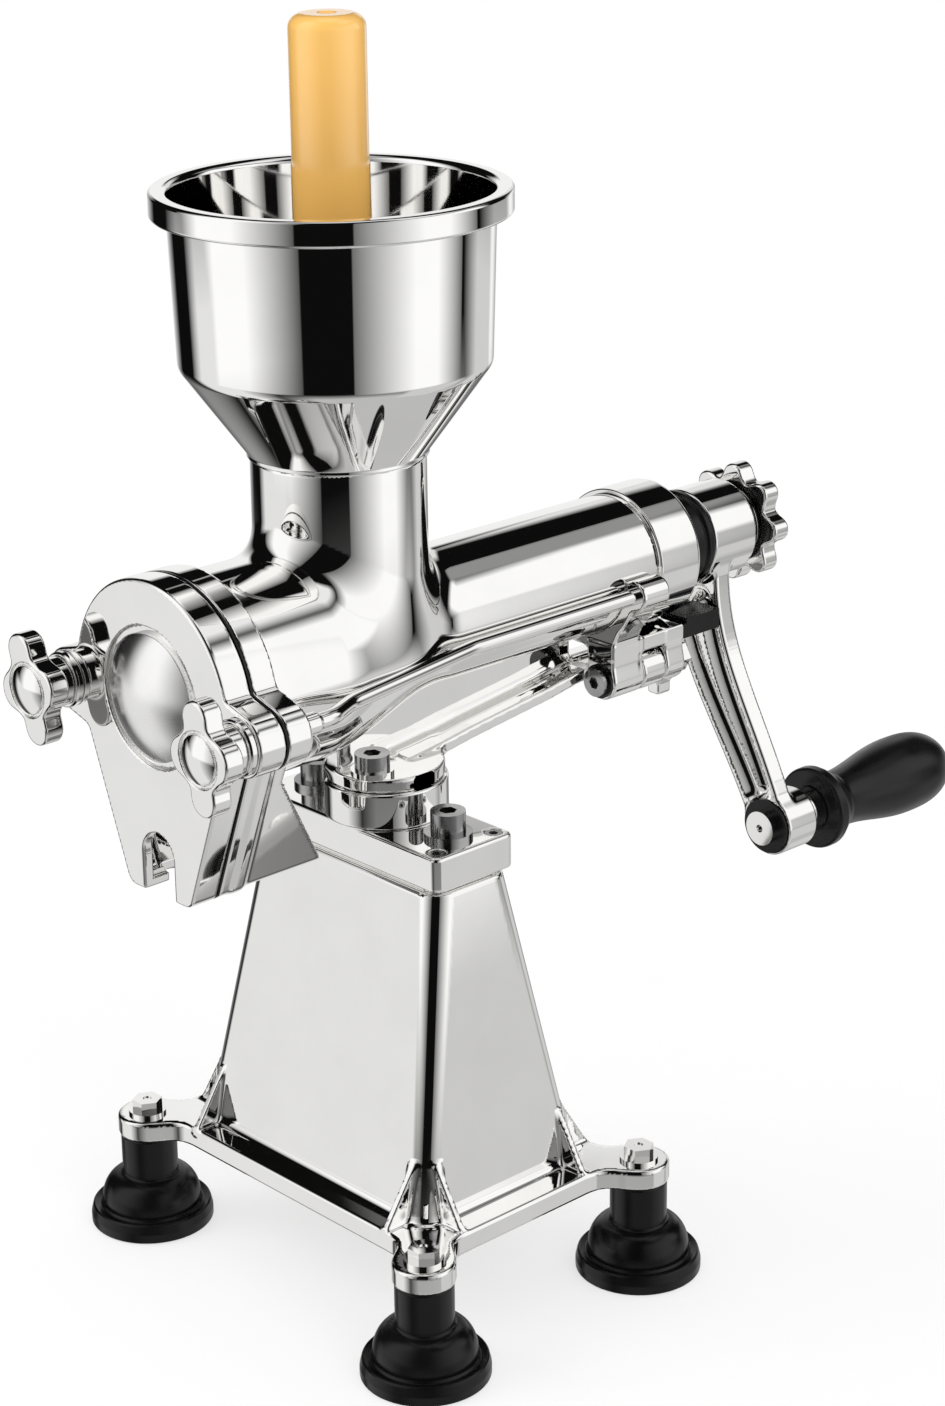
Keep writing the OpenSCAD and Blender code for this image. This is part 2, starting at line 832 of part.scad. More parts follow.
// Low-head socket screws sunk in the top plate's corners
module plate_screws() {
  color(dark_steel)
    in_frame()
      at_plate_screws()
        difference() {
          union() {
            translate([0, 0, plate_top - plate_screw_len])
              cylinder(h = plate_screw_len - plate_top + plate_screw_z, r = plate_screw_r);
            translate([0, 0, plate_screw_z])
              cylinder(h = plate_screw_head, r = plate_screw_head_r - slip_gap);
          }
          translate([0, 0, plate_screw_z + plate_screw_head * 0.25])
            cylinder(h = plate_screw_head, r = plate_screw_r * 0.9, $fn = 6);
        }
}

module cap_head(z, head_r, head_h, hex_r) {
  translate([0, 0, z])
    difference() {
      cylinder(h = head_h, r = head_r);
      translate([0, 0, head_h * 0.45])
        cylinder(h = head_h, r = hex_r, $fn = 6);
    }
}

module plate_cap_screws() {
  color(dark_steel)
    in_frame()
      at_cap_screws() {
        translate([0, 0, tower_top - tower_roof - 4])
          cylinder(h = plate_top + cap_washer_t - tower_top + tower_roof + 4, r = cap_screw_r);
        cap_head(plate_top + cap_washer_t, cap_head_r, cap_head_h, socket_r);
      }
}

module washer_z(z, r_out, r_in, t) {
  translate([0, 0, z])
    difference() {
      cylinder(h = t, r = r_out);
      translate([0, 0, -cut])
        cylinder(h = t + 2 * cut, r = r_in);
    }
}

module plate_cap_washers() {
  color(dark_steel)
    in_frame()
      at_cap_screws()
        washer_z(plate_top, cap_washer_r, cap_screw_r + bolt_gap, cap_washer_t);
}

// ---- Turret and arm -----------------------------------------------------

turret_y = 2;
arm_screw_x = 8;
arm_screw_y = turret_y - 13;

module turret() {
  flat_angle = 218;
  color(steel)
    in_frame()
      difference() {
        translate([0, turret_y, plate_top])
          cylinder(h = turret_h, r = turret_r);
        translate([0, turret_y, plate_top - cut])
          rotate([0, 0, flat_angle])
            translate([turret_r - 2.5, -turret_r, 0])
              cube([turret_r, 2 * turret_r, turret_h + 2 * cut]);
        translate([arm_screw_x, arm_screw_y, plate_top - cut])
          cylinder(h = turret_h + 2 * cut, r = cap_screw_r);
      }
}

// Side view of the arm's web, from the turret up to the barrel
module web_outline() {
  polygon([
    [turret_y - arm_flange_r + 3, flange_top - 1],
    [turret_y - arm_flange_r + 1, axis_z - tube_r - 1],
    [neck_y, axis_z - 15],
    [band_front - 2, axis_z - 15],
    [band_front - 2, arm_rear_z],
    [arm_knee_y, arm_rear_z - arm_knee_drop],
    [40, flange_top + 5],
    [turret_y + 12, flange_top - 1]
  ]);
}

arm_rear_z = pivot_z + 4.5;

// Side view of the arm's lower flange
module rib_outline() {
  polygon([
    [turret_y + 6, flange_top - arm_flange_t + 0.5],
    [turret_y + 6, flange_top],
    [40, flange_top + 5],
    [arm_knee_y, arm_rear_z - arm_knee_drop + 1],
    [pivot_head_front - move_gap, arm_rear_z + 1],
    [pivot_head_front - move_gap, arm_rear_z + 1 - arm_rib_t],
    [arm_knee_y, arm_rear_z - arm_knee_drop + 1 - arm_rib_t],
    [40, flange_top + 5 - arm_rib_t]
  ]);
}

module support_arm() {
  color(steel)
    in_frame()
      difference() {
        union() {
          translate([0, turret_y, turret_top])
            cylinder(h = arm_flange_t, r = arm_flange_r);
          slab_x(-web_offset - web_t / 2, -web_offset + web_t / 2)
            web_outline();
          slab_x(-arm_rib_left, arm_rib_right)
            rib_outline();
          // tail that passes beside the front lug
          translate([-web_offset - web_t / 2, band_front - 12, pivot_z - lug_r + 1])
            cube([web_t, lug2_back - band_front + 12, 2 * lug_r - 3]);
          bar_y(pivot_x, pivot_z, lug2_front, lug2_back, lug_r);
          translate([-web_offset, lug2_front, pivot_z - lug_r + 1])
            cube([pivot_x + web_offset, lug_mid_len, 2 * lug_r - 3]);
        }
        // seat of the barrel
        barrel_body_cut();
        bar_y(pivot_x, pivot_z, lug2_front - cut, lug2_back + cut, pivot_r + bolt_gap);
        translate([arm_screw_x, arm_screw_y, turret_top - cut])
          cylinder(h = arm_flange_t + 2 * cut, r = cap_screw_r + bolt_gap);
        for (p = [[-16, 8], [14, 3], [-2, -17]])
          translate([p[0], turret_y + p[1], turret_top - cut])
            cylinder(h = arm_flange_t + 2 * cut, r = 1.8);
      }
}

// The barrel's outside, a little larger, cut out of what carries it
module barrel_body_cut() {
  turned_y(0, axis_z, flange_back)
    polygon([
      [0, 0], [head_r + slip_gap, 0], [head_r + slip_gap, head_len],
      [tube_r + slip_gap, taper_end - flange_back], [tube_r + slip_gap, tube_end - flange_back + 60],
      [0, tube_end - flange_back + 60]
    ]);
}

module arm_screw() {
  color(dark_steel)
    in_frame()
      translate([arm_screw_x, arm_screw_y, 0]) {
        translate([0, 0, plate_top - 8])
          cylinder(h = turret_h + arm_flange_t + cap_washer_t + 8, r = cap_screw_r);
        cap_head(flange_top + cap_washer_t, cap_head_r, cap_head_h - 2, socket_r);
      }
}

module arm_screw_washer() {
  color(steel)
    in_frame()
      translate([arm_screw_x, arm_screw_y, 0])
        washer_z(flange_top, cap_head_r + 1.6, cap_screw_r + bolt_gap, cap_washer_t);
}

// ---- Rear bracket and pivot --------------------------------------------

module band_outline() {
  reach = collar_r + band_t + 8;
  difference() {
    union() {
      intersection() {
        translate([0, axis_z])
          circle(r = tube_r + band_t);
        translate([-reach, axis_z - reach])
          square([2 * reach, reach - stud_drop]);
      }
      for (sx = [-1, 1])
        translate([sx * rod_x, stud_z])
          circle(r = rod_r + 3);
      // strap down to the pivot
      translate([pivot_x - lug_r + 1, pivot_z])
        square([2 * lug_r - 2, axis_z - tube_r - pivot_z + 3]);
    }
    translate([0, axis_z])
      circle(r = tube_r + slip_gap);
  }
}

module rear_bracket() {
  color(steel)
    in_frame()
      difference() {
        union() {
          slab_y(band_front, band_back)
            band_outline();
          bar_y(pivot_x, pivot_z, lug1_front, lug1_back, lug_r);
          bar_y(pivot_x, pivot_z, lug3_front, lug3_back, lug_r);
          // bridge over the arm's lug
          translate([pivot_x - lug_r + 1, lug1_front, bridge_top - bridge_t])
            cube([2 * lug_r - 2, lug3_back - lug1_front, bridge_t]);
          translate([pivot_x - lug_r + 1, lug3_front, pivot_z])
            cube([2 * lug_r - 2, lug_rear_len, bridge_top - pivot_z]);
          translate([pivot_x - lug_r + 1, lug1_front, pivot_z])
            cube([2 * lug_r - 2, lug_front_len, bridge_top - pivot_z]);
          // stop tab under the rear lug
          translate([pivot_x - 3, lug3_front, pivot_z - lug_r - 5])
            cube([6, lug_rear_len - 3, lug_r + 2]);
        }
        bar_y(pivot_x, pivot_z, lug1_front - cut, lug3_back + cut, pivot_r + bolt_gap);
        for (sx = [-1, 1])
          bar_y(sx * rod_x, stud_z, band_front - cut, band_back + cut, rod_r + slip_gap);
        // room for the arm's lug
        translate([pivot_x - lug_r - 1, lug2_front - move_gap, pivot_z - lug_r - 6])
          cube([2 * lug_r + 2, lug_mid_len + 2 * move_gap, lug_r * 2 + 6.3]);
        bracket_screw_holes(bolt_gap);
      }
}

// Places of the screws that hold the band to the barrel's tube, one each side
module at_bracket_screws() {
  for (a = [38, 142])
    translate([0, band_front + band_w * 0.36, axis_z])
      rotate([0, a + 90, 0])
        translate([0, 0, tube_r - bracket_screw_bite])
          children();
}

module bracket_screw_holes(gap) {
  at_bracket_screws()
    cylinder(h = bracket_screw_bite + band_t + bracket_screw_head_h, r = bracket_screw_r + gap);
}

module bracket_screws() {
  color(dark_steel)
    in_frame()
      at_bracket_screws() {
        cylinder(h = bracket_screw_bite + band_t + bracket_screw_head_h / 2, r = bracket_screw_r);
        translate([0, 0, bracket_screw_bite + band_t + slip_gap])
          cylinder(h = bracket_screw_head_h, r = bracket_screw_head_r);
      }
}

module pivot_bolt() {
  head_back = lug1_front - pivot_washer_t;
  color(dark_steel)
    in_frame()
      difference() {
        union() {
          bar_y(pivot_x, pivot_z, head_back - 0.5, lug3_back + pivot_nut_t + 2, pivot_r);
          bar_y(pivot_x, pivot_z, head_back - pivot_head_t, head_back, pivot_head_r);
        }
        translate([pivot_x, head_back - pivot_head_t - cut, pivot_z])
          rotate([-90, 0, 0])
            cylinder(h = pivot_head_t + cut - 0.6, r = 2.6, $fn = 6);
      }
}

module pivot_washer() {
  color(black)
    in_frame()
      difference() {
        bar_y(pivot_x, pivot_z, lug1_front - pivot_washer_t, lug1_front, pivot_washer_r);
        bar_y(pivot_x, pivot_z, lug1_front - pivot_washer_t - cut, lug1_front + cut, pivot_r + bolt_gap);
      }
}

module pivot_nut() {
  color(steel)
    in_frame()
      difference() {
        translate([pivot_x, lug3_back, pivot_z])
          rotate([-90, 0, 0])
            cylinder(h = pivot_nut_t, r = pivot_nut_r, $fn = 6);
        bar_y(pivot_x, pivot_z, lug3_back - cut, lug3_back + pivot_nut_t + cut, pivot_r);
      }
}

// Rubber pad on the bracket's bridge, just short of the crank's arm
module crank_buffer() {
  x0 = pivot_x - buffer_w / 2;
  color(black)
    in_frame() {
      translate([x0, lug3_back, bridge_top - bridge_t])
        cube([buffer_w, arm_front - buffer_gap - lug3_back, bridge_t - slip_gap]);
      translate([x0, collar_end + move_gap, bridge_top - bridge_t])
        cube([buffer_w, arm_front - buffer_gap - collar_end - move_gap, axis_z - collar_nose_r - buffer_gap - bridge_top + bridge_t]);
    }
}

// ---- Cover outline, shared by the cover, the gasket and the barrel ------

// Everything here is drawn about the barrel's axis
module skirt(inset) {
  foot = [skirt_half - skirt_r, skirt_r - skirt_drop];
  r_foot = max(skirt_r - inset, 0.8);
  r_top = cover_r - inset;
  for (sx = [-1, 1])
    belt([0, 0], r_top, [sx * foot[0], foot[1]], r_foot);
  polygon([[0, 0], [-foot[0], foot[1] - r_foot], [foot[0], foot[1] - r_foot]]);
}

module ear_outline() {
  for (sx = [-1, 1])
    belt([sx * (cover_r - 22), -stud_drop], 19, [sx * stud_x, -stud_drop], lug_ear_r);
}

module cover_outline() {
  translate([0, axis_z]) {
    skirt(0);
    ear_outline();
  }
}

// The space inside the skirt, under the round chamber
module skirt_space() {
  translate([0, axis_z])
    difference() {
      union() {
        skirt(skirt_wall);
        translate([-skirt_half + skirt_wall, -skirt_drop - cut])
          square([2 * (skirt_half - skirt_wall), skirt_r + cut]);
      }
      // flat lid of the hood, under the barrel's bore
      translate([-cover_r, -bore_floor])
        square([2 * cover_r, 2 * cover_r]);
    }
}

bore_floor = sieve_r + 4;

module notch_outline() {
  translate([0, skirt_z]) {
    translate([0, notch_h - notch_half])
      circle(r = notch_half);
    translate([-notch_half, -cut])
      square([2 * notch_half, notch_h - notch_half + cut]);
  }
}

module stud_holes(y0, y1, r) {
  for (sx = [-1, 1])
    bar_y(sx * stud_x, stud_z, y0, y1, r);
}

module front_cover() {
  wall_back = cover_front + cover_wall;
  color(steel)
    in_frame()
      difference() {
        union() {
          slab_y(cover_front, cover_back)
            cover_outline();
          bar_y(0, axis_z, wall_back, sieve_front, front_boss_r);
        }
        // chamber behind the wall, with its boss left standing
        difference() {
          union() {
            slab_y(wall_back, cover_back + cut)
              translate([0, axis_z])
                circle(r = sieve_r - 1);
            slab_y(wall_back, cover_back + cut)
              translate([0, axis_z])
                skirt_slot();
          }
          bar_y(0, axis_z, wall_back - cut, cover_back + 2 * cut, front_boss_r);
        }
        slab_y(cover_front - cut, cover_back + cut)
          notch_outline();
        bar_y(0, axis_z, cover_front - cut, sieve_front + cut, front_pin_r + run_fit + bush_wall);
        turned_y(0, axis_z, cover_front)
          polygon([
            [0, -cut], [dome_r + groove_w, -cut], [dome_r + groove_w, groove_d], [0, groove_d]
          ]);
        stud_holes(cover_front - cut, cover_back + cut, stud_r + bolt_gap);
      }
}

// The passage from the chamber down to the skirt's foot
module skirt_slot() {
  difference() {
    union() {
      skirt(skirt_wall);
      translate([-skirt_half + skirt_wall, -skirt_drop - cut])
        square([2 * (skirt_half - skirt_wall), skirt_r + cut]);
    }
    translate([-cover_r, -15])
      square([2 * cover_r, 2 * cover_r]);
  }
}

module cover_gasket() {
  color(black)
    in_frame()
      difference() {
        slab_y(cover_back, flange_front)
          cover_outline();
        bar_y(0, axis_z, cover_back - cut, flange_front + cut, sieve_r + slip_gap);
        slab_y(cover_back - cut, flange_front + cut)
          translate([0, axis_z])
            skirt_slot();
        slab_y(cover_back - cut, flange_front + cut)
          notch_outline();
        stud_holes(cover_back - cut, flange_front + cut, stud_r + bolt_gap);
      }
}

module dome_cap() {
  // radius of the sphere whose cap has the dome's radius and height
  ball_r = (dome_r * dome_r + dome_h * dome_h) / (2 * dome_h);
  color(steel)
    in_frame()
      turned_y(0, axis_z, cover_front - dome_h)
        difference() {
          polygon([
            for (a = [0:3:90])
              if (ball_r * sin(a) < dome_r)
                [ball_r * sin(a), ball_r - ball_r * cos(a)],
            [dome_r, dome_h], [dome_r, dome_h + groove_d], [0, dome_h + groove_d]
          ]);
          translate([0, dome_h - 2])
            square([front_pin_r + 1, groove_d + 2 + cut]);
        }
}

module front_bush() {
  color(bronze)
    in_frame()
      difference() {
        bar_y(0, axis_z, cover_front + groove_d, sieve_front, front_pin_r + run_fit + bush_wall);
        bar_y(0, axis_z, cover_front, sieve_front + cut, front_pin_r + run_fit);
      }
}

// ---- Barrel -------------------------------------------------------------

taper_end = neck_y + neck_r + 3.5;

module barrel_outside() {
  turned_y(0, axis_z, flange_back)
    polygon([
      [0, -cut], [head_r, -cut], [head_r, head_len], [tube_r, taper_end - flange_back],
      [tube_r, tube_end - flange_back], [0, tube_end - flange_back]
    ]);
  translate([0, neck_y, axis_z])
    cylinder(h = neck_h - neck_lip * 3, r = neck_r);
  translate([0, neck_y, neck_top - neck_lip * 3])
    cylinder(h = neck_lip * 3, r1 = neck_r, r2 = neck_r + neck_lip);
  slab_y(flange_front, flange_back)
    cover_outline();
  hood();
}

hood_inset = 0.6;

// Side view of the hood: its back slopes from under the head to its foot
module hood() {
  intersection() {
    slab_y(flange_back - cut, flange_back + hood_len)
      translate([0, axis_z])
        skirt(hood_inset);
    slab_x(-cover_r, cover_r)
      polygon([
        [flange_back - cut, skirt_z - cut], [flange_back + hood_len, skirt_z - cut],
        [flange_back + hood_len, skirt_z + 2], [flange_back + hood_top_len, axis_z - head_r + 8],
        [flange_back + hood_top_len, axis_z - 5], [flange_back - cut, axis_z - 5]
      ]);
  }
}

module hood_space() {
  intersection() {
    slab_y(flange_front - cut, flange_back + hood_len)
      skirt_space();
    slab_x(-cover_r, cover_r)
      polygon([
        [flange_front - cut, skirt_z - 2 * cut], [flange_back + hood_len - skirt_wall, skirt_z - 2 * cut],
        [flange_back + hood_len - skirt_wall, skirt_z + 2],
        [flange_back + hood_top_len - skirt_wall, axis_z - head_r + 6],
        [flange_back + hood_top_len - skirt_wall, axis_z], [flange_front - cut, axis_z]
      ]);
  }
}

module barrel() {
  chamber_len = chamber_back - sieve_back;
  color(steel)
    in_frame()
      difference() {
        barrel_outside();
        // seat of the perforated plate, knife chamber and auger bore
        bar_y(0, axis_z, flange_front - cut, sieve_back, sieve_r + slip_gap);
        turned_y(0, axis_z, sieve_back - cut)
          polygon([
            [0, 0], [chamber_r, 0], [chamber_r, chamber_len], [bore_r, chamber_len + 9],
            [bore_r, tube_end - sieve_back + 2 * cut], [0, tube_end - sieve_back + 2 * cut]
          ]);
        // filling neck
        translate([0, neck_y, axis_z + 4])
          cylinder(h = neck_h, r = neck_r - neck_wall);
        // way down in front of the perforated plate, and the hood
        slab_y(flange_front - cut, sieve_front - 0.5)
          translate([0, axis_z])
            skirt_slot();
        hood_space();
        // slot of the plate's key
        translate([-plate_key_w / 2, flange_front - cut, axis_z + sieve_r - key_depth])
          cube([plate_key_w, sieve_back - flange_front + cut, 2 * key_depth]);
        stud_holes(flange_front - cut, flange_back + cut, stud_r + slip_gap);
        bracket_screw_holes(0);
      }
}

module perforated_plate() {
  rings = [[front_boss_r + 4, 10], [front_boss_r + 9.5, 14], [front_boss_r + 15, 18]];
  color(dark_steel)
    in_frame()
      difference() {
        bar_y(0, axis_z, sieve_front, sieve_back, sieve_r);
        bar_y(0, axis_z, sieve_front - cut, sieve_back + cut, front_pin_r + run_fit);
        for (ring = rings)
          for (i = [0:ring[1] - 1])
            bar_y(ring[0] * sin(360 * i / ring[1] + 10), axis_z + ring[0] * cos(360 * i / ring[1] + 10),
                  sieve_front - cut, sieve_back + cut, sieve_hole_r);
        translate([-plate_key_w / 2, sieve_front - cut, axis_z + sieve_r - key_depth])
          cube([plate_key_w, sieve_t + 2 * cut, 2 * key_depth]);
      }
}

module plate_key() {
  color(dark_steel)
    in_frame()
      translate([-plate_key_w / 2 + slip_gap, sieve_front, axis_z + sieve_r - key_depth + slip_gap])
        cube([plate_key_w - 2 * slip_gap, sieve_t, 2 * key_depth - 2 * slip_gap]);
}

// ---- Rear collar --------------------------------------------------------

bush_r = shaft_r + run_fit + bush_wall;

module rear_collar() {
  nose = collar_r - collar_nose_r;
  color(steel)
    in_frame()
      turned_y(0, axis_z, spigot_front)
        polygon([
          [bush_r, 0], [bore_r - run_fit, 0], [bore_r - run_fit, spigot_len],
          [collar_r, spigot_len], [collar_r, spigot_len + collar_len - nose],
          for (a = [15:15:75])
            [collar_nose_r + nose * cos(a), spigot_len + collar_len - nose + nose * sin(a)],
          [collar_nose_r, spigot_len + collar_len], [bush_r, spigot_len + collar_len]
        ]);
}

module rear_bush() {
  color(bronze)
    in_frame()
      difference() {
        bar_y(0, axis_z, spigot_front, collar_end, bush_r);
        bar_y(0, axis_z, spigot_front - cut, collar_end + cut, shaft_r + run_fit);
      }
}

module shaft_seal() {
  color(black)
    in_frame()
      turned_y(0, axis_z, collar_end)
        polygon([
          [shaft_r + move_gap, 0], [seal_r, 0], [seal_r, seal_t - 1.2], [seal_r - 1.2, seal_t],
          [shaft_r + move_gap, seal_t]
        ]);
}

// ---- Hopper -------------------------------------------------------------

module hopper() {
  w = hopper_wall;
  spout_r = neck_r - neck_wall - slip_gap;
  turn_r = 5;
  lip_r_out = neck_r + neck_lip;
  color(steel)
    in_frame()
      translate([0, neck_y, neck_top])
        rotate_extrude()
          polygon([
            [spout_r - w, -spout_len], [spout_r, -spout_len], [spout_r, 0], [lip_r_out, 0], [lip_r_out, 1.5],
            // cone, with its turned edge
            [bowl_foot_r - turn_r * 0.75, cone_h - turn_r * 0.9],
            [bowl_foot_r - turn_r * 0.25, cone_h - turn_r * 0.35],
            [bowl_foot_r, cone_h + turn_r * 0.3],
            [bowl_r, cone_h + bowl_h - rim_h], [rim_r - 1, cone_h + bowl_h - rim_h],
            [rim_r, cone_h + bowl_h - rim_h + 1], [rim_r, cone_h + bowl_h - 1], [rim_r - 1, cone_h + bowl_h],
            [bowl_r + 0.5, cone_h + bowl_h], [bowl_r - w, cone_h + bowl_h - 2.5],
            [bowl_foot_r - w, cone_h + turn_r * 0.3], [bowl_foot_r - w - turn_r * 0.25, cone_h - turn_r * 0.25],
            [bowl_foot_r - w - turn_r * 0.75, cone_h - turn_r * 0.7],
            [lip_r_out - w, 3.5], [spout_r - w, 1]
          ]);
}

// ---- Tie rods -----------------------------------------------------------

// A rod's run between two points at the studs' height, with the knuckle that the bend leaves at its start
module rod_run(p, q) {
  d = q - p;
  translate([p[0], p[1], stud_z]) {
    sphere(r = rod_r + rod_knuckle);
    rotate([0, 0, atan2(d[1], d[0])])
      rotate([0, 90, 0])
        cylinder(h = norm(d), r = rod_r);
  }
}

module tie_rod(side) {
  head_x = head_r + rod_r + rod_head_gap;
  thread_back = flange_back + 12;
  neck_back = thread_back + 6;
  rod_end = min(band_back + 1.5, tube_end - move_gap);
  pts = [
    [side * stud_x, neck_back], [side * head_x, flange_back + head_len + 2],
    [side * rod_x, taper_end + 1], [side * rod_x, rod_end]
  ];
  in_frame() {
    bar_y(side * stud_x, stud_z, stud_end, thread_back, stud_r);
    translate([side * stud_x, thread_back, stud_z])
      rotate([-90, 0, 0])
        cylinder(h = 2, r1 = stud_r, r2 = rod_r);
    bar_y(side * stud_x, stud_z, thread_back, neck_back, rod_r);
    for (i = [0:len(pts) - 2])
      rod_run(pts[i], pts[i + 1]);
  }
}

module tie_rod_left() {
  color(steel) tie_rod(-1);
}

module tie_rod_right() {
  color(steel) tie_rod(1);
}

// ---- Auger and cutting set ---------------------------------------------

// Core of the screw with one helical blade
module auger() {
  blade = 360 * flight_t * auger_turns / auger_len;
  root = core_r - 1.5;
  color(dark_steel)
    in_frame()
      translate([0, auger_front, axis_z])
        rotate([-90, 0, 0]) {
          cylinder(h = auger_len, r = core_r);
          linear_extrude(height = auger_len, twist = -360 * auger_turns, slices = 22 * auger_turns, $fn = 8)
            polygon([
              [root, 0], [auger_r, 0], [auger_r * cos(blade / 2), auger_r * sin(blade / 2)],
              [auger_r * cos(blade), auger_r * sin(blade)], [root * cos(blade * 1.6), root * sin(blade * 1.6)]
            ]);
        }
}

module front_pin() {
  color(dark_steel)
    in_frame() {
      translate([-knife_square / 2, knife_front, axis_z - knife_square / 2])
        cube([knife_square, auger_front - knife_front, knife_square]);
      bar_y(0, axis_z, pin_end, knife_front, front_pin_r);
    }
}

module knife() {
  hub = knife_square * 0.95;
  hole = knife_square / 2 + slip_gap;
  color(dark_steel)
    in_frame()
      slab_y(knife_front, knife_back)
        translate([0, axis_z])
          difference() {
            union() {
              circle(r = hub);
              for (a = [0:90:270])
                rotate(a)
                  polygon([[3, -5.5], [knife_r, -3], [knife_r, 2], [hub - 1, 7]]);
            }
            square(2 * hole, center = true);
          }
}

module thrust_washer() {
  color(bronze)
    in_frame()
      difference() {
        bar_y(0, axis_z, auger_back + slip_gap, auger_back + slip_gap + thrust_t, shaft_r + 6);
        bar_y(0, axis_z, auger_back - cut, auger_back + thrust_t + cut, shaft_r + move_gap);
      }
}

module drive_shaft() {
  color(dark_steel)
    in_frame()
      difference() {
        turned_y(0, axis_z, auger_back)
          polygon([
            [0, 0], [shaft_r, 0], [shaft_r, hub_front - auger_back], [seat_r, hub_front - auger_back],
            [seat_r, hub_back - auger_back - 1], [shaft_thread_r, hub_back - auger_back - 1],
            [shaft_thread_r, shaft_end - auger_back], [0, shaft_end - auger_back]
          ]);
        key_space(slip_gap);
      }
}

// Flat key between the shaft and the crank's hub
module key_space(gap) {
  translate([-2 - gap, arm_front - gap, axis_z + seat_r - 2 - gap])
    cube([4 + 2 * gap, arm_t + 2 * gap, 4 + 2 * gap]);
}

module crank_key() {
  color(dark_steel)
    in_frame()
      key_space(0);
}

// ---- Crank --------------------------------------------------------------

// Middle line of the crank's arm, a curve with two bends; t runs from 0 to 1.
// It is drawn with the hub at the origin and the grip straight along +X.
function arm_mid(t) =
  let (p0 = [hub_r * 0.8, -arm_sway * 0.2])
  let (p1 = [crank_throw * 0.425, -arm_sway])
  let (p2 = [crank_throw * 0.62, -arm_sway * 0.1])
  let (p3 = [crank_throw, 0])
  p0 * pow(1 - t, 3) + p1 * 3 * t * pow(1 - t, 2) + p2 * 3 * t * t * (1 - t) + p3 * pow(t, 3);

function arm_dir(t) =
  let (d = arm_mid(t + 0.01) - arm_mid(t - 0.01))
  d / norm(d);

function arm_side(t, half) =
  arm_mid(t) + half * [-arm_dir(t)[1], arm_dir(t)[0]];

// Strip along the arm's middle line, narrower at the grip
module arm_strip(t0, t1, inset) {
  steps = 14;
  ts = [for (i = [0:steps]) t0 + (t1 - t0) * i / steps];
  function half(t) = (arm_w_hub + (arm_w_end - arm_w_hub) * t) / 2 - inset;
  polygon(concat(
    [for (t = ts) arm_side(t, half(t))],
    [for (i = [steps:-1:0]) arm_side(ts[i], -half(ts[i]))]
  ));
}

// Turns an outline drawn along +X so that it hangs at the crank's angle
module hung() {
  translate([0, axis_z])
    rotate(crank_lean - 90)
      children();
}

module crank_arm() {
  color(steel)
    in_frame()
      difference() {
        union() {
          bar_y(0, axis_z, hub_front, hub_back, hub_r);
          slab_y(arm_front, arm_back)
            hung()
              arm_strip(0, 1, 0);
          bar_y(grip_x, grip_z, arm_front, boss_back, boss_r);
        }
        slab_y(arm_front - cut, arm_front + channel_d)
          hung()
            difference() {
              arm_strip(0.12, 0.84, channel_rib);
              // rib across the channel
              translate([crank_throw * 0.42, 0])
                square([3, 60], center = true);
            }
        bar_y(0, axis_z, hub_front - cut, hub_back + cut, seat_r + slip_gap / 2);
        bar_y(grip_x, grip_z, arm_front - cut, boss_back + cut, grip_bolt_r + bolt_gap);
        bar_y(grip_x, grip_z, arm_front - cut, arm_front + 0.6, grip_washer_r);
        key_space(slip_gap);
      }
}

module grip_washer() {
  color(black)
    in_frame()
      difference() {
        bar_y(grip_x, grip_z, arm_front + 0.6 - grip_washer_t, arm_front + 0.6, grip_washer_r - slip_gap);
        bar_y(grip_x, grip_z, arm_front - 5, arm_front + 5, grip_bolt_r + bolt_gap);
      }
}

module grip_bolt() {
  head_back = arm_front + 0.6 - grip_washer_t;
  color(steel)
    in_frame()
      difference() {
        union() {
          bar_y(grip_x, grip_z, head_back - 0.5, grip_bolt_end, grip_bolt_r);
          bar_y(grip_x, grip_z, head_back - grip_head_t, head_back, grip_bolt_r * 1.75);
          // collar that keeps the grip on
          bar_y(grip_x, grip_z, grip_bolt_end, grip_bolt_end + 3, grip_bolt_r * 1.6);
        }
        translate([grip_x, head_back - grip_head_t - cut, grip_z])
          rotate([-90, 0, 0])
            cylinder(h = 2 + cut, r = 1.6);
      }
}

module grip_ferrule() {
  color(steel)
    in_frame()
      difference() {
        turned_y(grip_x, grip_z, ferrule_front)
          polygon([
            [0, 0], [ferrule_r, 0], [ferrule_r, ferrule_len - 1], [ferrule_r - 1, ferrule_len], [0, ferrule_len]
          ]);
        bar_y(grip_x, grip_z, ferrule_front - cut, ferrule_back + cut, grip_bolt_r + bolt_gap);
      }
}

// ---- Grip ---------------------------------------------------------------

// Outer radius of the grip at a distance from its front end
function grip_radius(s) =
  let (waist = 13)
  let (belly = grip_len * 0.66)
  s < waist ? grip_waist_r + (grip_flange_r - grip_waist_r) * pow(cos(90 * s / waist), 1.4)
  : s < belly ? grip_waist_r + (grip_r - grip_waist_r) * (1 - cos(180 * (s - waist) / (belly - waist))) / 2
  : grip_r * sqrt(max(0.0001, 1 - pow((s - belly) / (grip_len - belly + 1), 3)));

module grip() {
  end_round = 5;
  hole_len = grip_bolt_end - grip_front;
  color(black)
    in_frame()
      turned_y(grip_x, grip_z, grip_front)
        difference() {
          polygon([
            [0, 0], [grip_flange_r - 1.5, 0], [grip_flange_r, 1.5],
            for (s = [4:3:grip_len - 2])
              [grip_radius(s), s],
            [grip_radius(grip_len), grip_len], [0, grip_len]
          ]);
          translate([0, -cut])
            square([grip_bolt_r + run_fit, hole_len + cut + 0.1]);
          translate([0, hole_len - move_gap])
            square([grip_bolt_r * 1.6 + move_gap, 3 + 2 * move_gap]);
        }
}

// ---- Rear knob ----------------------------------------------------------

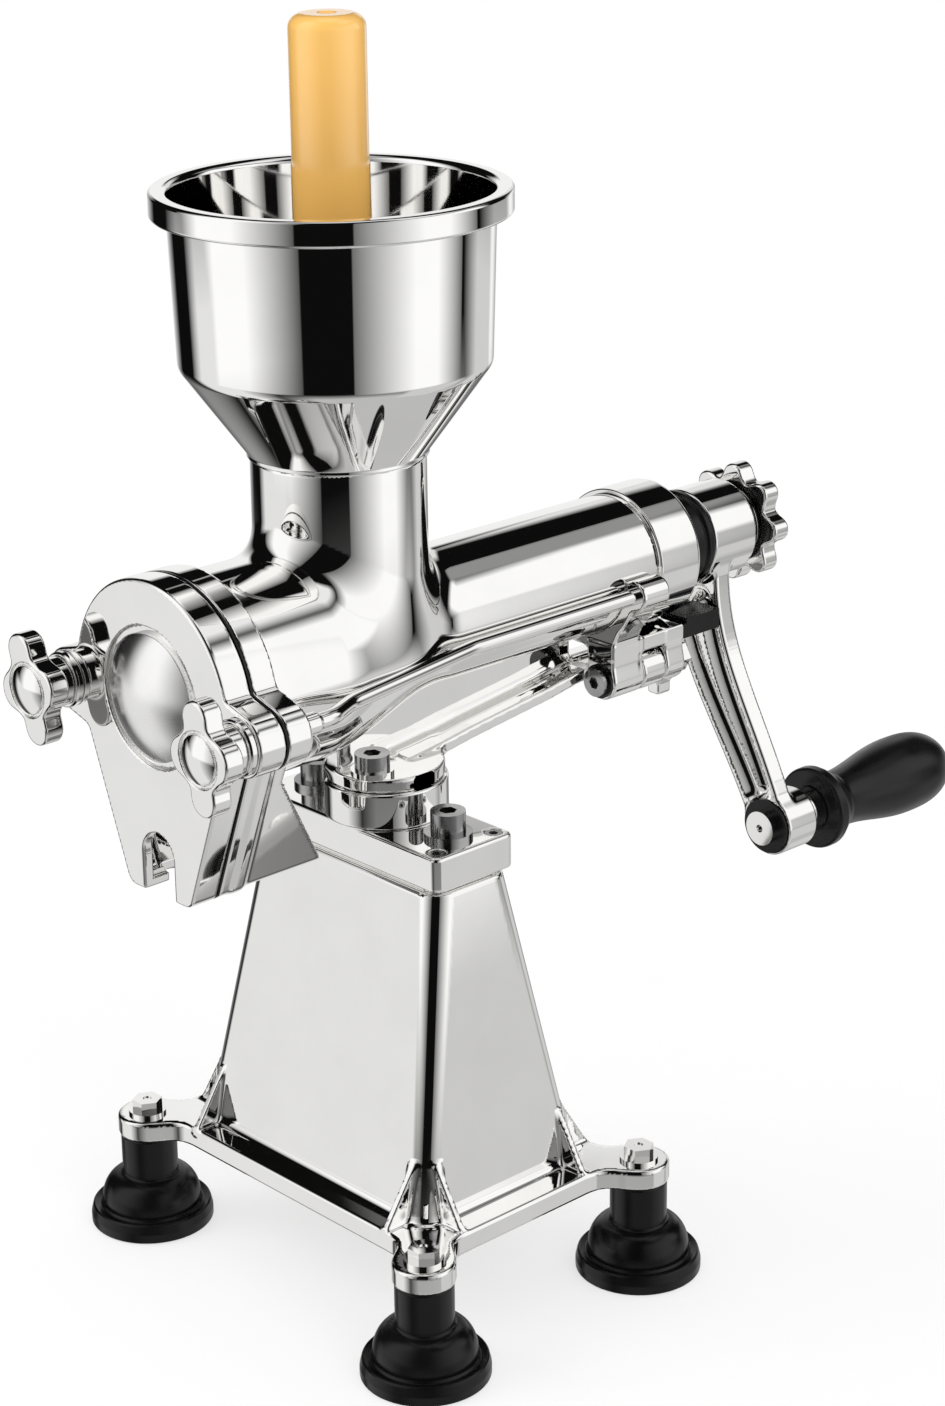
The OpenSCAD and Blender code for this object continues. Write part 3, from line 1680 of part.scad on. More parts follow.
module star_outline() {
  lobe_at = star_r - star_lobe_r;
  circle(r = lobe_at - 0.6);
  for (i = [0:star_lobes - 1])
    rotate(360 * i / star_lobes)
      belt([lobe_at - 6, 0], star_lobe_r, [lobe_at, 0], star_lobe_r - 0.01);
}

module star_knob() {
  hub = star_washer_r - 2;
  color(steel)
    in_frame()
      difference() {
        union() {
          slab_y(star_front + 2, star_back - 1)
            translate([0, axis_z])
              star_outline();
          bar_y(0, axis_z, star_front, star_front + 3, hub);
          turned_y(0, axis_z, star_back - 1 - cut)
            polygon([[0, 0], [12, 0], [12, cut], [10.5, cut + 1], [0, cut + 1]]);
        }
        bar_y(0, axis_z, star_front - cut, shaft_end + 0.5, shaft_thread_r + run_fit);
      }
}

module star_washer() {
  color(black)
    in_frame()
      difference() {
        bar_y(0, axis_z, washer_front, washer_back, star_washer_r);
        bar_y(0, axis_z, washer_front - cut, washer_back + cut, shaft_thread_r + run_fit);
      }
}

// ---- Front knobs --------------------------------------------------------

// A lobe that reaches out along +X and ends in an arc
module clover_lobe(reach, end_r) {
  lobe_waist = 0.4;
  translate([reach - end_r, 0])
    circle(r = end_r);
  translate([0, -end_r + lobe_waist])
    square([reach - end_r, 2 * (end_r - lobe_waist)]);
}

module clover_outline(turn) {
  circle(r = clover_dome_r + 2.2);
  for (half = [0, 180])
    rotate(half + turn) {
      clover_lobe(clover_short_r, clover_short_lobe_r);
      rotate(90)
        clover_lobe(clover_r, clover_lobe_r);
    }
}

module clover_knob(side, turn) {
  ball_r = (clover_dome_r * clover_dome_r + clover_dome_h * clover_dome_h) / (2 * clover_dome_h);
  in_frame()
    translate([side * stud_x, 0, 0])
      difference() {
        union() {
          slab_y(clover_front, clover_back)
            translate([0, stud_z])
              clover_outline(turn);
          bar_y(0, stud_z, clover_back - cut, clover_hub_back, clover_hub_r);
          turned_y(0, stud_z, clover_front - clover_dome_h)
            polygon([
              for (a = [0:4:90])
                if (ball_r * sin(a) < clover_dome_r)
                  [ball_r * sin(a), ball_r - ball_r * cos(a)],
              [clover_dome_r, clover_dome_h], [clover_dome_r, clover_dome_h + cut], [0, clover_dome_h + cut]
            ]);
        }
        bar_y(0, stud_z, stud_end - 0.5, cover_front, stud_r + run_fit);
      }
}

module loose_collar(side) {
  in_frame()
    difference() {
      turned_y(side * stud_x, stud_z, loose_front)
        polygon([
          [0, 0], [loose_collar_r - 0.8, 0], [loose_collar_r, 0.8], [loose_collar_r, loose_collar_t], [0, loose_collar_t]
        ]);
      bar_y(side * stud_x, stud_z, loose_front - cut, loose_back + cut, stud_r + run_fit);
    }
}

module left_knob() {
  color(steel) clover_knob(-1, left_knob_turn);
}

module right_knob() {
  color(steel) clover_knob(1, right_knob_turn);
}

module left_collar() {
  color(steel) loose_collar(-1);
}

module right_collar() {
  color(steel) loose_collar(1);
}

// ---- Pusher -------------------------------------------------------------

module pusher() {
  len = pusher_top - pusher_z;
  flat = pusher_r - pusher_round;
  color(cream)
    in_frame()
      translate([0, neck_y, pusher_z])
        rotate_extrude()
          difference() {
            union() {
              translate([0, 3])
                square([pusher_r, len - pusher_round - 3]);
              square([pusher_r - 3, len]);
              square([flat, len]);
              intersection() {
                translate([flat, len - pusher_round])
                  circle(r = pusher_round);
                square([pusher_r + 1, len + 1]);
              }
              intersection() {
                translate([pusher_r - 3, 3])
                  circle(r = 3);
                square([pusher_r + 1, len]);
              }
            }
            // round off what stands outside the top's curve
            difference() {
              translate([flat, len - pusher_round])
                square([pusher_round + 1, pusher_round + 1]);
              translate([flat, len - pusher_round])
                circle(r = pusher_round);
            }
            // dimple
            translate([0, len + 5 - dimple_d])
              circle(r = 5);
          }
}

// ---- Nodes --------------------------------------------------------------

pedestal();
top_plate();
plate_screws();
plate_cap_screws();
plate_cap_washers();
foot_bolts();
foot_washers();
foot_inserts();
foot_front_left();
foot_front_right();
foot_rear_left();
foot_rear_right();
turret();
support_arm();
arm_screw();
arm_screw_washer();
rear_bracket();
bracket_screws();
pivot_bolt();
pivot_washer();
pivot_nut();
crank_buffer();
barrel();
rear_collar();
rear_bush();
shaft_seal();
hopper();
front_cover();
cover_gasket();
dome_cap();
front_bush();
perforated_plate();
plate_key();
tie_rod_left();
tie_rod_right();
auger();
front_pin();
knife();
thrust_washer();
drive_shaft();
crank_arm();
crank_key();
grip_bolt();
grip_washer();
grip_ferrule();
star_washer();
star_knob();
grip();
pusher();
left_collar();
left_knob();
right_collar();
right_knob();
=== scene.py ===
"""Hand crank meat grinder: polished castings, spun hopper, pedestal on suction feet, crank and knobs.

Every length in this file is in millimetres until a mesh is written, when it becomes metres. The frame is the
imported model's: Z is up, the front cover faces -Y and the crank is at +Y.
"""

import logging
import math
from dataclasses import dataclass, field
from enum import Enum
from typing import Callable, Sequence

import bpy
import numpy as np
from mathutils import Matrix, Vector


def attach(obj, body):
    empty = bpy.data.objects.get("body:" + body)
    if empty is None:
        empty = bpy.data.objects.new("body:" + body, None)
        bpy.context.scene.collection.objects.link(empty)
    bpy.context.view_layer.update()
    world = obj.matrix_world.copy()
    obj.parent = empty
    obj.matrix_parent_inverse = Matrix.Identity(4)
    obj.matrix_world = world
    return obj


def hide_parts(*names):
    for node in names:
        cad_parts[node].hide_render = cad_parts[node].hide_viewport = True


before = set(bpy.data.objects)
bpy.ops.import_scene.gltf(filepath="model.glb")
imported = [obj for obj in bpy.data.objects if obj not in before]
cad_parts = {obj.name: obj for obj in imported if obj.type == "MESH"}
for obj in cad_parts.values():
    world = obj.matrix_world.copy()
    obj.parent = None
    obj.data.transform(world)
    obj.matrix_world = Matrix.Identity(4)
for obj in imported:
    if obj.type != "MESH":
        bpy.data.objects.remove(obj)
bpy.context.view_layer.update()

LOG = logging.getLogger("grinder")
logging.basicConfig(level=logging.INFO, format="%(name)s: %(message)s")

MM = 0.001
Array = np.ndarray
Field = Callable[[Array, Array, Array], Array]


# ---- Sizes shared by the sub-assemblies ----------------------------------


@dataclass(frozen=True)
class Layout:
    """Places along the machine, in millimetres, before the shift that centres it along Y."""

    foot_dx: float = 80.5
    foot_dy: float = 55.0
    base_z: float = 37.5
    base_top: float = 46.0
    tower_top: float = 166.0
    plate_z: float = 167.5
    plate_top: float = 181.0
    turret_top: float = 195.0
    flange_top: float = 200.5
    turret_y: float = 2.0
    axis_z: float = 251.5
    skirt_z: float = 177.5
    neck_y: float = -16.5
    neck_top: float = 321.5
    flange_back: float = -81.0
    flange_front: float = -91.7
    cover_back: float = -92.5
    cover_front: float = -104.0
    tube_end: float = 121.0
    collar_end: float = 143.4
    hub_front: float = 160.0
    hub_back: float = 183.7
    arm_front: float = 163.2
    boss_back: float = 179.7
    grip_front: float = 189.1
    grip_back: float = 268.6
    stud_x: float = 48.0
    stud_z: float = 246.5
    pivot_x: float = 12.0
    pivot_z: float = 208.5
    band_front: float = 103.0
    band_back: float = 117.0
    grip_x: float = 45.728
    grip_z: float = 140.554
    shift_y: float = -71.45


SPOT = Layout()


# ---- Distance fields ------------------------------------------------------
# A field is a function of x, y and z arrays that is negative inside the shape and measures
# roughly the distance to its surface outside.


def smooth_union(a: Array, b: Array, k: float) -> Array:
    """Joins two fields with a fillet.

    Args:
        a: First field's values.
        b: Second field's values.
        k: Width of the fillet; where the two differ by less than k, a parabola is taken off the smaller.

    Returns:
        The joined field.
    """
    h = np.maximum(k - np.abs(a - b), 0.0)
    return np.minimum(a, b) - h * h / (4.0 * k)


def smooth_cut(a: Array, b: Array, k: float) -> Array:
    """Takes b away from a with a rounded edge: the smooth maximum of a and minus b.

    Args:
        a: Field of the solid.
        b: Field of the cutter.
        k: Width of the rounded edge.

    Returns:
        The field of the solid without the cutter.
    """
    return -smooth_union(-a, b, k)


def smooth_both(a: Array, b: Array, k: float) -> Array:
    """The overlap of a and b with a rounded edge of width k."""
    return -smooth_union(-a, -b, k)


def box_2d(u: Array, v: Array, half_u: float | Array, half_v: float | Array, r: float) -> Array:
    """Signed distance to a rectangle with round corners: the distance to the inner rectangle less r.

    Args:
        u: First coordinate.
        v: Second coordinate.
        half_u: Half the width along u.
        half_v: Half the width along v.
        r: Radius of the corners.

    Returns:
        The distances.
    """
    du = np.abs(u) - (half_u - r)
    dv = np.abs(v) - (half_v - r)
    return np.hypot(np.maximum(du, 0), np.maximum(dv, 0)) + np.minimum(np.maximum(du, dv), 0) - r


def belt_2d(u: Array, v: Array, c0: tuple[float, float], r0: float, c1: tuple[float, float], r1: float) -> Array:
    """Signed distance to two discs with a belt round them.

    The point is turned so that the belt's line is upright; below the lower tangent point it measures to the first
    disc, above the upper one to the second, and between them to the tangent line.

    Args:
        u: First coordinate.
        v: Second coordinate.
        c0: Centre of the first disc.
        r0: Its radius.
        c1: Centre of the second disc.
        r1: Its radius.

    Returns:
        The distances.
    """
    dx, dy = c1[0] - c0[0], c1[1] - c0[1]
    h = math.hypot(dx, dy)
    ex, ey = dx / h, dy / h
    along = (u - c0[0]) * ex + (v - c0[1]) * ey
    across = np.abs((u - c0[0]) * ey - (v - c0[1]) * ex)
    b = (r0 - r1) / h
    a = math.sqrt(max(1.0 - b * b, 0.0))
    k = -b * across + a * along
    low = np.hypot(across, along) - r0
    high = np.hypot(across, along - h) - r1
    side = across * a + along * b - r0
    return np.where(k < 0, low, np.where(k > a * h, high, side))


def polygon_2d(u: Array, v: Array, points: Sequence[tuple[float, float]]) -> Array:
    """Signed distance to a polygon: the distance to its nearest edge, negative where a ray crosses an odd count.

    Args:
        u: First coordinate.
        v: Second coordinate.
        points: Corners in order.

    Returns:
        The distances.
    """
    best = np.full(np.broadcast(u, v).shape, 1e9)
    inside = np.zeros(best.shape, bool)
    for i, (ax, ay) in enumerate(points):
        bx, by = points[i - 1]
        ex, ey = bx - ax, by - ay
        t = np.clip(((u - ax) * ex + (v - ay) * ey) / (ex * ex + ey * ey), 0, 1)
        best = np.minimum(best, np.hypot(u - ax - t * ex, v - ay - t * ey))
        if ay != by:
            crosses = (ay > v) != (by > v)
            inside ^= crosses & (u < (bx - ax) * (v - ay) / (by - ay) + ax)
    return np.where(inside, -best, best)


def thick(flat: Array, w: Array, low: float, high: float, r: float) -> Array:
    """Gives a flat outline thickness with rounded edges.

    The solid is the outline shrunk by r, thickened between low + r and high - r, and grown by r again.

    Args:
        flat: Signed distance to the outline.
        w: Coordinate along the thickness.
        low: Lower face.
        high: Upper face.
        r: Radius of the edges.

    Returns:
        The distances to the solid.
    """
    a = flat + r
    b = np.abs(w - (low + high) / 2) - (high - low) / 2 + r
    return np.hypot(np.maximum(a, 0), np.maximum(b, 0)) + np.minimum(np.maximum(a, b), 0) - r


# ---- Objects and meshes ---------------------------------------------------


def place(name: str, data: bpy.types.ID) -> bpy.types.Object:
    """Puts a new object with this mesh, lamp or camera into the scene, at the origin."""
    obj = bpy.data.objects.new(name, data)
    bpy.context.scene.collection.objects.link(obj)
    return obj


WELD_STEPS = 2000  # points closer than one of these steps of a millimetre are one point
CELLS_BEFORE, CELLS_AFTER = 1.37, 2.4  # room round a casting's box; uneven, so that no flat face lies on the grid
SETTLE_ROUNDS = 6  # times that a casting's points are moved towards its surface
STRAIGHT = 1e-4  # a corner that turns by less, in radians, stays as it is
MOST_OF_SIDE = 0.49  # most of a side that one rounded corner may take
CAP_RINGS = 5  # rings in each ball end of a swept piece


def write_mesh(name: str, verts: Array, faces: Array, normals: Array) -> bpy.types.Object:
    """Makes an object from arrays, moved to the machine's frame and turned into metres.

    Points that lie on each other are welded, so seams and poles close, while each corner of a face keeps the normal
    of its own point. A face whose corners run the wrong way for its normals is turned over.

    Args:
        name: The piece's name.
        verts: Points in millimetres, one row each.
        faces: Corner numbers, four in a row.
        normals: The surface's true normal at each point.

    Returns:
        The new object.
    """
    length = np.linalg.norm(normals, axis=1, keepdims=True)
    normals = normals / np.maximum(length, 1e-9)
    a, b, c, d = (verts[faces[:, i]] for i in range(4))
    across = np.cross(c - a, d - b)
    wrong = (across * normals[faces].sum(1)).sum(1) < 0
    faces = np.where(wrong[:, None], faces[:, ::-1], faces)
    rounded = np.round(verts * WELD_STEPS).astype(np.int64)
    _, first, weld = np.unique(rounded, axis=0, return_index=True, return_inverse=True)
    ring = weld.ravel()[faces]
    keep = ring != np.roll(ring, 1, axis=1)
    good = keep.sum(1) >= 3
    faces, ring, keep = faces[good], ring[good], keep[good]
    corners, corner_normals = ring[keep], normals[faces[keep]]
    counts = keep.sum(1)
    pts = (verts[first] + np.array([0.0, SPOT.shift_y, 0.0])) * MM
    mesh = bpy.data.meshes.new(name)
    mesh.vertices.add(len(pts))
    mesh.vertices.foreach_set("co", pts.astype(np.float32).ravel())
    mesh.loops.add(len(corners))
    mesh.loops.foreach_set("vertex_index", corners.astype(np.int32))
    mesh.polygons.add(len(counts))
    mesh.polygons.foreach_set("loop_start", np.concatenate([[0], np.cumsum(counts)[:-1]]).astype(np.int32))
    mesh.update(calc_edges=True)
    mesh.polygons.foreach_set("use_smooth", np.ones(len(counts), bool))
    mesh.normals_split_custom_set(corner_normals.tolist())
    return place(name, mesh)


def slope(shape: Field, p: Array, step: float = 0.02) -> Array:
    """Gradient of a field by central differences.

    Args:
        shape: The field.
        p: Points, one row each.
        step: Half the distance between the two samples.

    Returns:
        One gradient a row.
    """
    g = np.empty_like(p)
    for axis in range(3):
        hi, lo = p.copy(), p.copy()
        hi[:, axis] += step
        lo[:, axis] -= step
        g[:, axis] = (shape(*hi.T) - shape(*lo.T)) / (2 * step)
    return g


def cast(name: str, shape: Field, low: Sequence[float], high: Sequence[float], cell: float) -> bpy.types.Object:
    """Makes the surface where a field is zero, as a founder's mould gives a casting.

    The box is divided into cells. Each cell that the surface passes gets one point, at the mean of the places where
    the field changes sign along its edges, and each edge that the surface crosses joins its four cells in a face.
    The points are then moved along the field's slope until they lie on the surface, and the slope gives the normals.

    Args:
        name: The piece's name.
        shape: The field.
        low: Lowest corner of the box.
        high: Highest corner of the box.
        cell: Size of a cell.

    Returns:
        The new object.
    """
    axes = [np.arange(low[i] - cell * CELLS_BEFORE, high[i] + cell * CELLS_AFTER, cell) for i in range(3)]
    gx, gy, gz = np.meshgrid(*axes, indexing="ij", sparse=True)
    value = np.broadcast_to(shape(gx, gy, gz), tuple(len(a) for a in axes)).astype(np.float32)
    inside = value < 0
    n = np.array(value.shape) - 1
    total = np.zeros((*n, 3), np.float32)
    hits = np.zeros(tuple(n), np.float32)
    quads = []
    for axis in range(3):
        a = inside.take(range(0, n[axis]), axis)
        b = inside.take(range(1, n[axis] + 1), axis)
        va = value.take(range(0, n[axis]), axis)
        vb = value.take(range(1, n[axis] + 1), axis)
        crossing = a != b
        at = np.argwhere(crossing)
        t = va[crossing] / (va[crossing] - vb[crossing])
        others = [i for i in range(3) if i != axis]
        corner = at.astype(np.float32)
        corner[:, axis] += t
        for du in (0, 1):
            for dv in (0, 1):
                c = at.copy()
                c[:, others[0]] -= du
                c[:, others[1]] -= dv
                ok = (c >= 0).all(1) & (c < n).all(1)
                np.add.at(total, tuple(c[ok].T), corner[ok])
                np.add.at(hits, tuple(c[ok].T), 1)
        ok = (at[:, others[0]] > 0) & (at[:, others[1]] > 0) & (at < n).all(1)
        at = at[ok]
        ring = []
        for du, dv in ((0, 0), (1, 0), (1, 1), (0, 1)):
            c = at.copy()
            c[:, others[0]] -= du
            c[:, others[1]] -= dv
            ring.append(np.ravel_multi_index(tuple(c.T), tuple(n)))
        quads.append(np.stack(ring, 1))
    cells = np.flatnonzero(hits.ravel())
    number = np.full(hits.size, -1)
    number[cells] = np.arange(len(cells))
    mean = total.reshape(-1, 3)[cells] / hits.ravel()[cells, None]
    p = np.array([a[0] for a in axes]) + mean.astype(float) * cell
    start = p.copy()
    for _ in range(SETTLE_ROUNDS):
        g = slope(shape, p)
        p = p - g * (shape(*p.T) / np.maximum((g * g).sum(1), 0.05))[:, None]
        p = start + np.clip(p - start, -cell, cell)
    faces = number[np.concatenate(quads)]
    faces = faces[(faces >= 0).all(1)]
    return write_mesh(name, p, faces, slope(shape, p))


@dataclass
class Outline:
    """A profile of points and normals in two coordinates, with round corners put in."""

    points: Array
    normals: Array

    @staticmethod
    def rounded(corners: Sequence[tuple[float, float, float]], closed: bool = False, arc: int = 6) -> "Outline":
        """Rounds the corners of a path.

        Each corner with a radius is replaced by an arc that touches both of its sides, whose normals turn from one
        side's to the other's; a sharp corner gets two points with a normal each.

        Args:
            corners: First and second coordinate and radius of each corner.
            closed: Whether the path returns to its start; the first point is then also the last.
            arc: Steps in each arc.

        Returns:
            The outline, with normals to the right of the way it runs.
        """
        pts, nrm = [], []
        c = np.array(corners, float)
        count = len(c)
        for i in range(count):
            p, r = c[i, :2], c[i, 2]
            if not closed and i in (0, count - 1):
                d = c[1, :2] - c[0, :2] if i == 0 else c[-1, :2] - c[-2, :2]
                d = d / np.linalg.norm(d)
                pts.append(p)
                nrm.append(np.array([d[1], -d[0]]))
                continue
            a, b = c[i - 1, :2], c[(i + 1) % count, :2]
            d0, d1 = p - a, b - p
            l0, l1 = np.linalg.norm(d0), np.linalg.norm(d1)
            d0, d1 = d0 / l0, d1 / l1
            n0, n1 = np.array([d0[1], -d0[0]]), np.array([d1[1], -d1[0]])
            turn = math.atan2(d0[0] * d1[1] - d0[1] * d1[0], float(d0 @ d1))
            if abs(turn) < STRAIGHT:
                pts.append(p)
                nrm.append(n0)
                continue
            if r <= 0:
                pts += [p, p]
                nrm += [n0, n1]
                continue
            cut = min(r * math.tan(abs(turn) / 2), MOST_OF_SIDE * l0, MOST_OF_SIDE * l1)
            r = cut / math.tan(abs(turn) / 2)
            s = 1.0 if turn > 0 else -1.0
            centre = p - d0 * cut - n0 * r * s
            for k in range(arc + 1):
                t = turn * k / arc
                n = np.array([n0[0] * math.cos(t) - n0[1] * math.sin(t), n0[0] * math.sin(t) + n0[1] * math.cos(t)])
                pts.append(centre + n * r * s)
                nrm.append(n)
        if closed:
            pts.append(pts[0])
            nrm.append(nrm[0])
        return Outline(np.array(pts), np.array(nrm))


class Way(Enum):
    """The direction in which a turned piece's axis points."""

    UP = "up"
    BACK = "back"


def turned(name: str, profile: Outline, centre: Sequence[float], way: Way, sides: int = 96) -> bpy.types.Object:
    """Turns a profile round an axis: the point (r, h) at angle a lies at (r cos a, r sin a) and h along the axis.

    Args:
        name: The piece's name.
        profile: Radius and height, running so that its normals point outwards.
        centre: Where height nought lies on the axis.
        way: Which way height grows.
        sides: Steps round the axis.

    Returns:
        The new object.
    """
    a = np.linspace(0, 2 * math.pi, sides, endpoint=False)
    r, h = profile.points[:, 0], profile.points[:, 1]
    nr, nh = profile.normals[:, 0], profile.normals[:, 1]
    ca, sa = np.cos(a)[:, None], np.sin(a)[:, None]
    flat = np.stack([ca * r, sa * r, np.broadcast_to(h, (sides, len(h)))], -1).reshape(-1, 3)
    norm = np.stack([ca * nr, sa * nr, np.broadcast_to(nh, (sides, len(h)))], -1).reshape(-1, 3)
    i, j = np.meshgrid(np.arange(sides), np.arange(len(r) - 1), indexing="ij")
    k = (i + 1) % sides
    m = len(r)
    faces = np.stack([i * m + j, k * m + j, k * m + j + 1, i * m + j + 1], -1).reshape(-1, 4)
    gap = np.hypot(np.diff(r), np.diff(h))
    faces = faces[np.tile(gap > 1e-6, sides)]
    if way is Way.BACK:
        flat = np.stack([flat[:, 0], flat[:, 2], -flat[:, 1]], 1)
        norm = np.stack([norm[:, 0], norm[:, 2], -norm[:, 1]], 1)
    return write_mesh(name, flat + np.array(centre, float), faces, norm)


def swept(name: str, path: Array, radius: Array, sides: int = 32) -> bpy.types.Object:
    """Carries a circle along a path, with ball ends.

    At each point the circle stands square to the path; its first direction is carried on from the point before, so
    that it doesn't spin. Rings that shrink as a sine closes each end.

    Args:
        name: The piece's name.
        path: Points, one row each.
        radius: Radius at each point.
        sides: Steps round the circle.

    Returns:
        The new object.
    """
    way = np.gradient(path, axis=0)
    way /= np.linalg.norm(way, axis=1, keepdims=True)
    up = np.array([0.0, 0.0, 1.0])
    u = np.cross(way, up)
    u /= np.linalg.norm(u, axis=1, keepdims=True)
    v = np.cross(u, way)
    caps = np.linspace(0, math.pi / 2, CAP_RINGS, endpoint=False)
    head = np.stack([path[0] - way[0] * radius[0] * math.cos(t) for t in caps])
    tail = np.stack([path[-1] + way[-1] * radius[-1] * math.cos(t) for t in caps[::-1]])
    centre = np.concatenate([head, path, tail])
    size = np.concatenate([radius[0] * np.sin(caps), radius, radius[-1] * np.sin(caps[::-1])])
    lean = np.concatenate([-np.cos(caps), np.zeros(len(path)), np.cos(caps[::-1])])
    flat = np.sqrt(1 - lean**2)
    grow = np.concatenate([np.repeat(u[:1], CAP_RINGS, 0), u, np.repeat(u[-1:], CAP_RINGS, 0)])
    rise = np.concatenate([np.repeat(v[:1], CAP_RINGS, 0), v, np.repeat(v[-1:], CAP_RINGS, 0)])
    ahead = np.concatenate([np.repeat(way[:1], CAP_RINGS, 0), way, np.repeat(way[-1:], CAP_RINGS, 0)])
    a = np.linspace(0, 2 * math.pi, sides, endpoint=False)[None, :, None]
    out = np.cos(a) * grow[:, None] + np.sin(a) * rise[:, None]
    pts = centre[:, None] + out * size[:, None, None]
    nrm = out * flat[:, None, None] + ahead[:, None] * lean[:, None, None]
    rows = len(centre)
    i, j = np.meshgrid(np.arange(rows - 1), np.arange(sides), indexing="ij")
    k = (j + 1) % sides
    faces = np.stack([i * sides + j, i * sides + k, (i + 1) * sides + k, (i + 1) * sides + j], -1).reshape(-1, 4)
    return write_mesh(name, pts.reshape(-1, 3), faces, nrm.reshape(-1, 3))


# ---- Finishes -------------------------------------------------------------


def add_node(tree: bpy.types.NodeTree, kind: str, inputs: dict, **settings: object) -> bpy.types.Node:
    """Adds a shader node.

    Args:
        tree: The tree that it goes into.
        kind: Its type, without the words that all shader nodes' types begin with.
        inputs: A constant or another node's output for each input, by the input's name or number.
        settings: Its own settings, which are made before its inputs.

    Returns:
        The node.
    """
    node = tree.nodes.new(f"ShaderNode{kind}")
    for name, value in settings.items():
        setattr(node, name, value)
    for key, value in inputs.items():
        if isinstance(value, bpy.types.NodeSocket):
            tree.links.new(value, node.inputs[key])
        else:
            node.inputs[key].default_value = value
    return node


def new_material(name: str) -> bpy.types.Material:
    """Makes a material that uses nodes."""
    mat = bpy.data.materials.new(name)
    mat.use_nodes = True
    return mat


def handling_group() -> bpy.types.NodeTree:
    """Makes the group for the faint marks that every finish carries.

    Soft clouds stand for wiped grease, and a fine noise for the grain of moulded pieces. The group puts out a colour, a
    roughness and a normal; each material gives its own levels.

    Returns:
        The node group.
    """
    name = "handling_marks"
    if name in bpy.data.node_groups:
        return bpy.data.node_groups[name]
    tree = bpy.data.node_groups.new(name, "ShaderNodeTree")
    face = tree.interface
    for label, kind, value in (
        ("Color", "NodeSocketColor", (0.8, 0.8, 0.8, 1.0)),
        ("Shade Color", "NodeSocketColor", (0.7, 0.7, 0.7, 1.0)),
        ("Smooth", "NodeSocketFloat", 0.05),
        ("Rough", "NodeSocketFloat", 0.12),
        ("Cloud Scale", "NodeSocketFloat", 40.0),
        ("Grain Scale", "NodeSocketFloat", 900.0),
        ("Grain Height", "NodeSocketFloat", 0.00001),
    ):
        socket = face.new_socket(name=label, in_out="INPUT", socket_type=kind)
        socket.default_value = value
    for label, kind in (("Color", "NodeSocketColor"), ("Roughness", "NodeSocketFloat"), ("Normal", "NodeSocketVector")):
        face.new_socket(name=label, in_out="OUTPUT", socket_type=kind)
    given = tree.nodes.new("NodeGroupInput").outputs
    put = tree.nodes.new("NodeGroupOutput").inputs
    spot = add_node(tree, "TexCoord", {}).outputs["Object"]
    soft = {"Vector": spot, "Scale": given["Cloud Scale"], "Detail": 4.0, "Roughness": 0.55}
    cloud = add_node(tree, "TexNoise", soft)
    grain = add_node(tree, "TexNoise", {"Vector": spot, "Scale": given["Grain Scale"], "Detail": 2.0})
    window = {"Value": cloud.outputs["Fac"], "From Min": 0.38, "From Max": 0.68}
    mask = add_node(tree, "MapRange", window).outputs["Result"]
    rough = add_node(tree, "Mix", {"Factor": mask, "A": given["Smooth"], "B": given["Rough"]}, data_type="FLOAT")
    tint = add_node(tree, "Mix", {"Factor": mask, "A": given["Color"], "B": given["Shade Color"]}, data_type="RGBA")
    height = add_node(tree, "Math", {0: grain.outputs["Fac"], 1: given["Grain Height"]}, operation="MULTIPLY")
    bump = add_node(tree, "Bump", {"Height": height.outputs[0], "Strength": 1.0, "Distance": 1.0})
    tree.links.new(tint.outputs["Result"], put["Color"])
    tree.links.new(rough.outputs["Result"], put["Roughness"])
    tree.links.new(bump.outputs["Normal"], put["Normal"])
    return tree


@dataclass(frozen=True)
class Finish:
    """How a surface looks: its two colours, its range of roughness, and the size of its marks."""

    name: str
    color: tuple[float, float, float]
    shade: tuple[float, float, float]
    metallic: float
    smooth: float
    rough: float
    cloud_scale: float = 45.0
    grain_scale: float = 900.0
    grain_height: float = 0.0
    coat: float = 0.0
    coat_roughness: float = 0.05
    specular: float = 0.5

    def material(self) -> bpy.types.Material:
        """Makes the material, once.

        Its name has an ending of its own, because the frame's plain materials have the slots' names.

        Returns:
            The material.
        """
        name = f"{self.name}_finish"
        if name in bpy.data.materials:
            return bpy.data.materials[name]
        mat = new_material(name)
        tree = mat.node_tree
        shader = tree.nodes["Principled BSDF"].inputs
        shader["Metallic"].default_value = self.metallic
        shader["Coat Weight"].default_value = self.coat
        shader["Coat Roughness"].default_value = self.coat_roughness
        shader["Specular IOR Level"].default_value = self.specular
        levels = {
            "Color": (*self.color, 1.0),
            "Shade Color": (*self.shade, 1.0),
            "Smooth": self.smooth,
            "Rough": self.rough,
            "Cloud Scale": self.cloud_scale,
            "Grain Scale": self.grain_scale,
            "Grain Height": self.grain_height,
        }
        marks = add_node(tree, "Group", levels, node_tree=handling_group()).outputs
        tree.links.new(marks["Color"], shader["Base Color"])
        tree.links.new(marks["Roughness"], shader["Roughness"])
        if self.grain_height > 0:
            tree.links.new(marks["Normal"], shader["Normal"])
        return mat


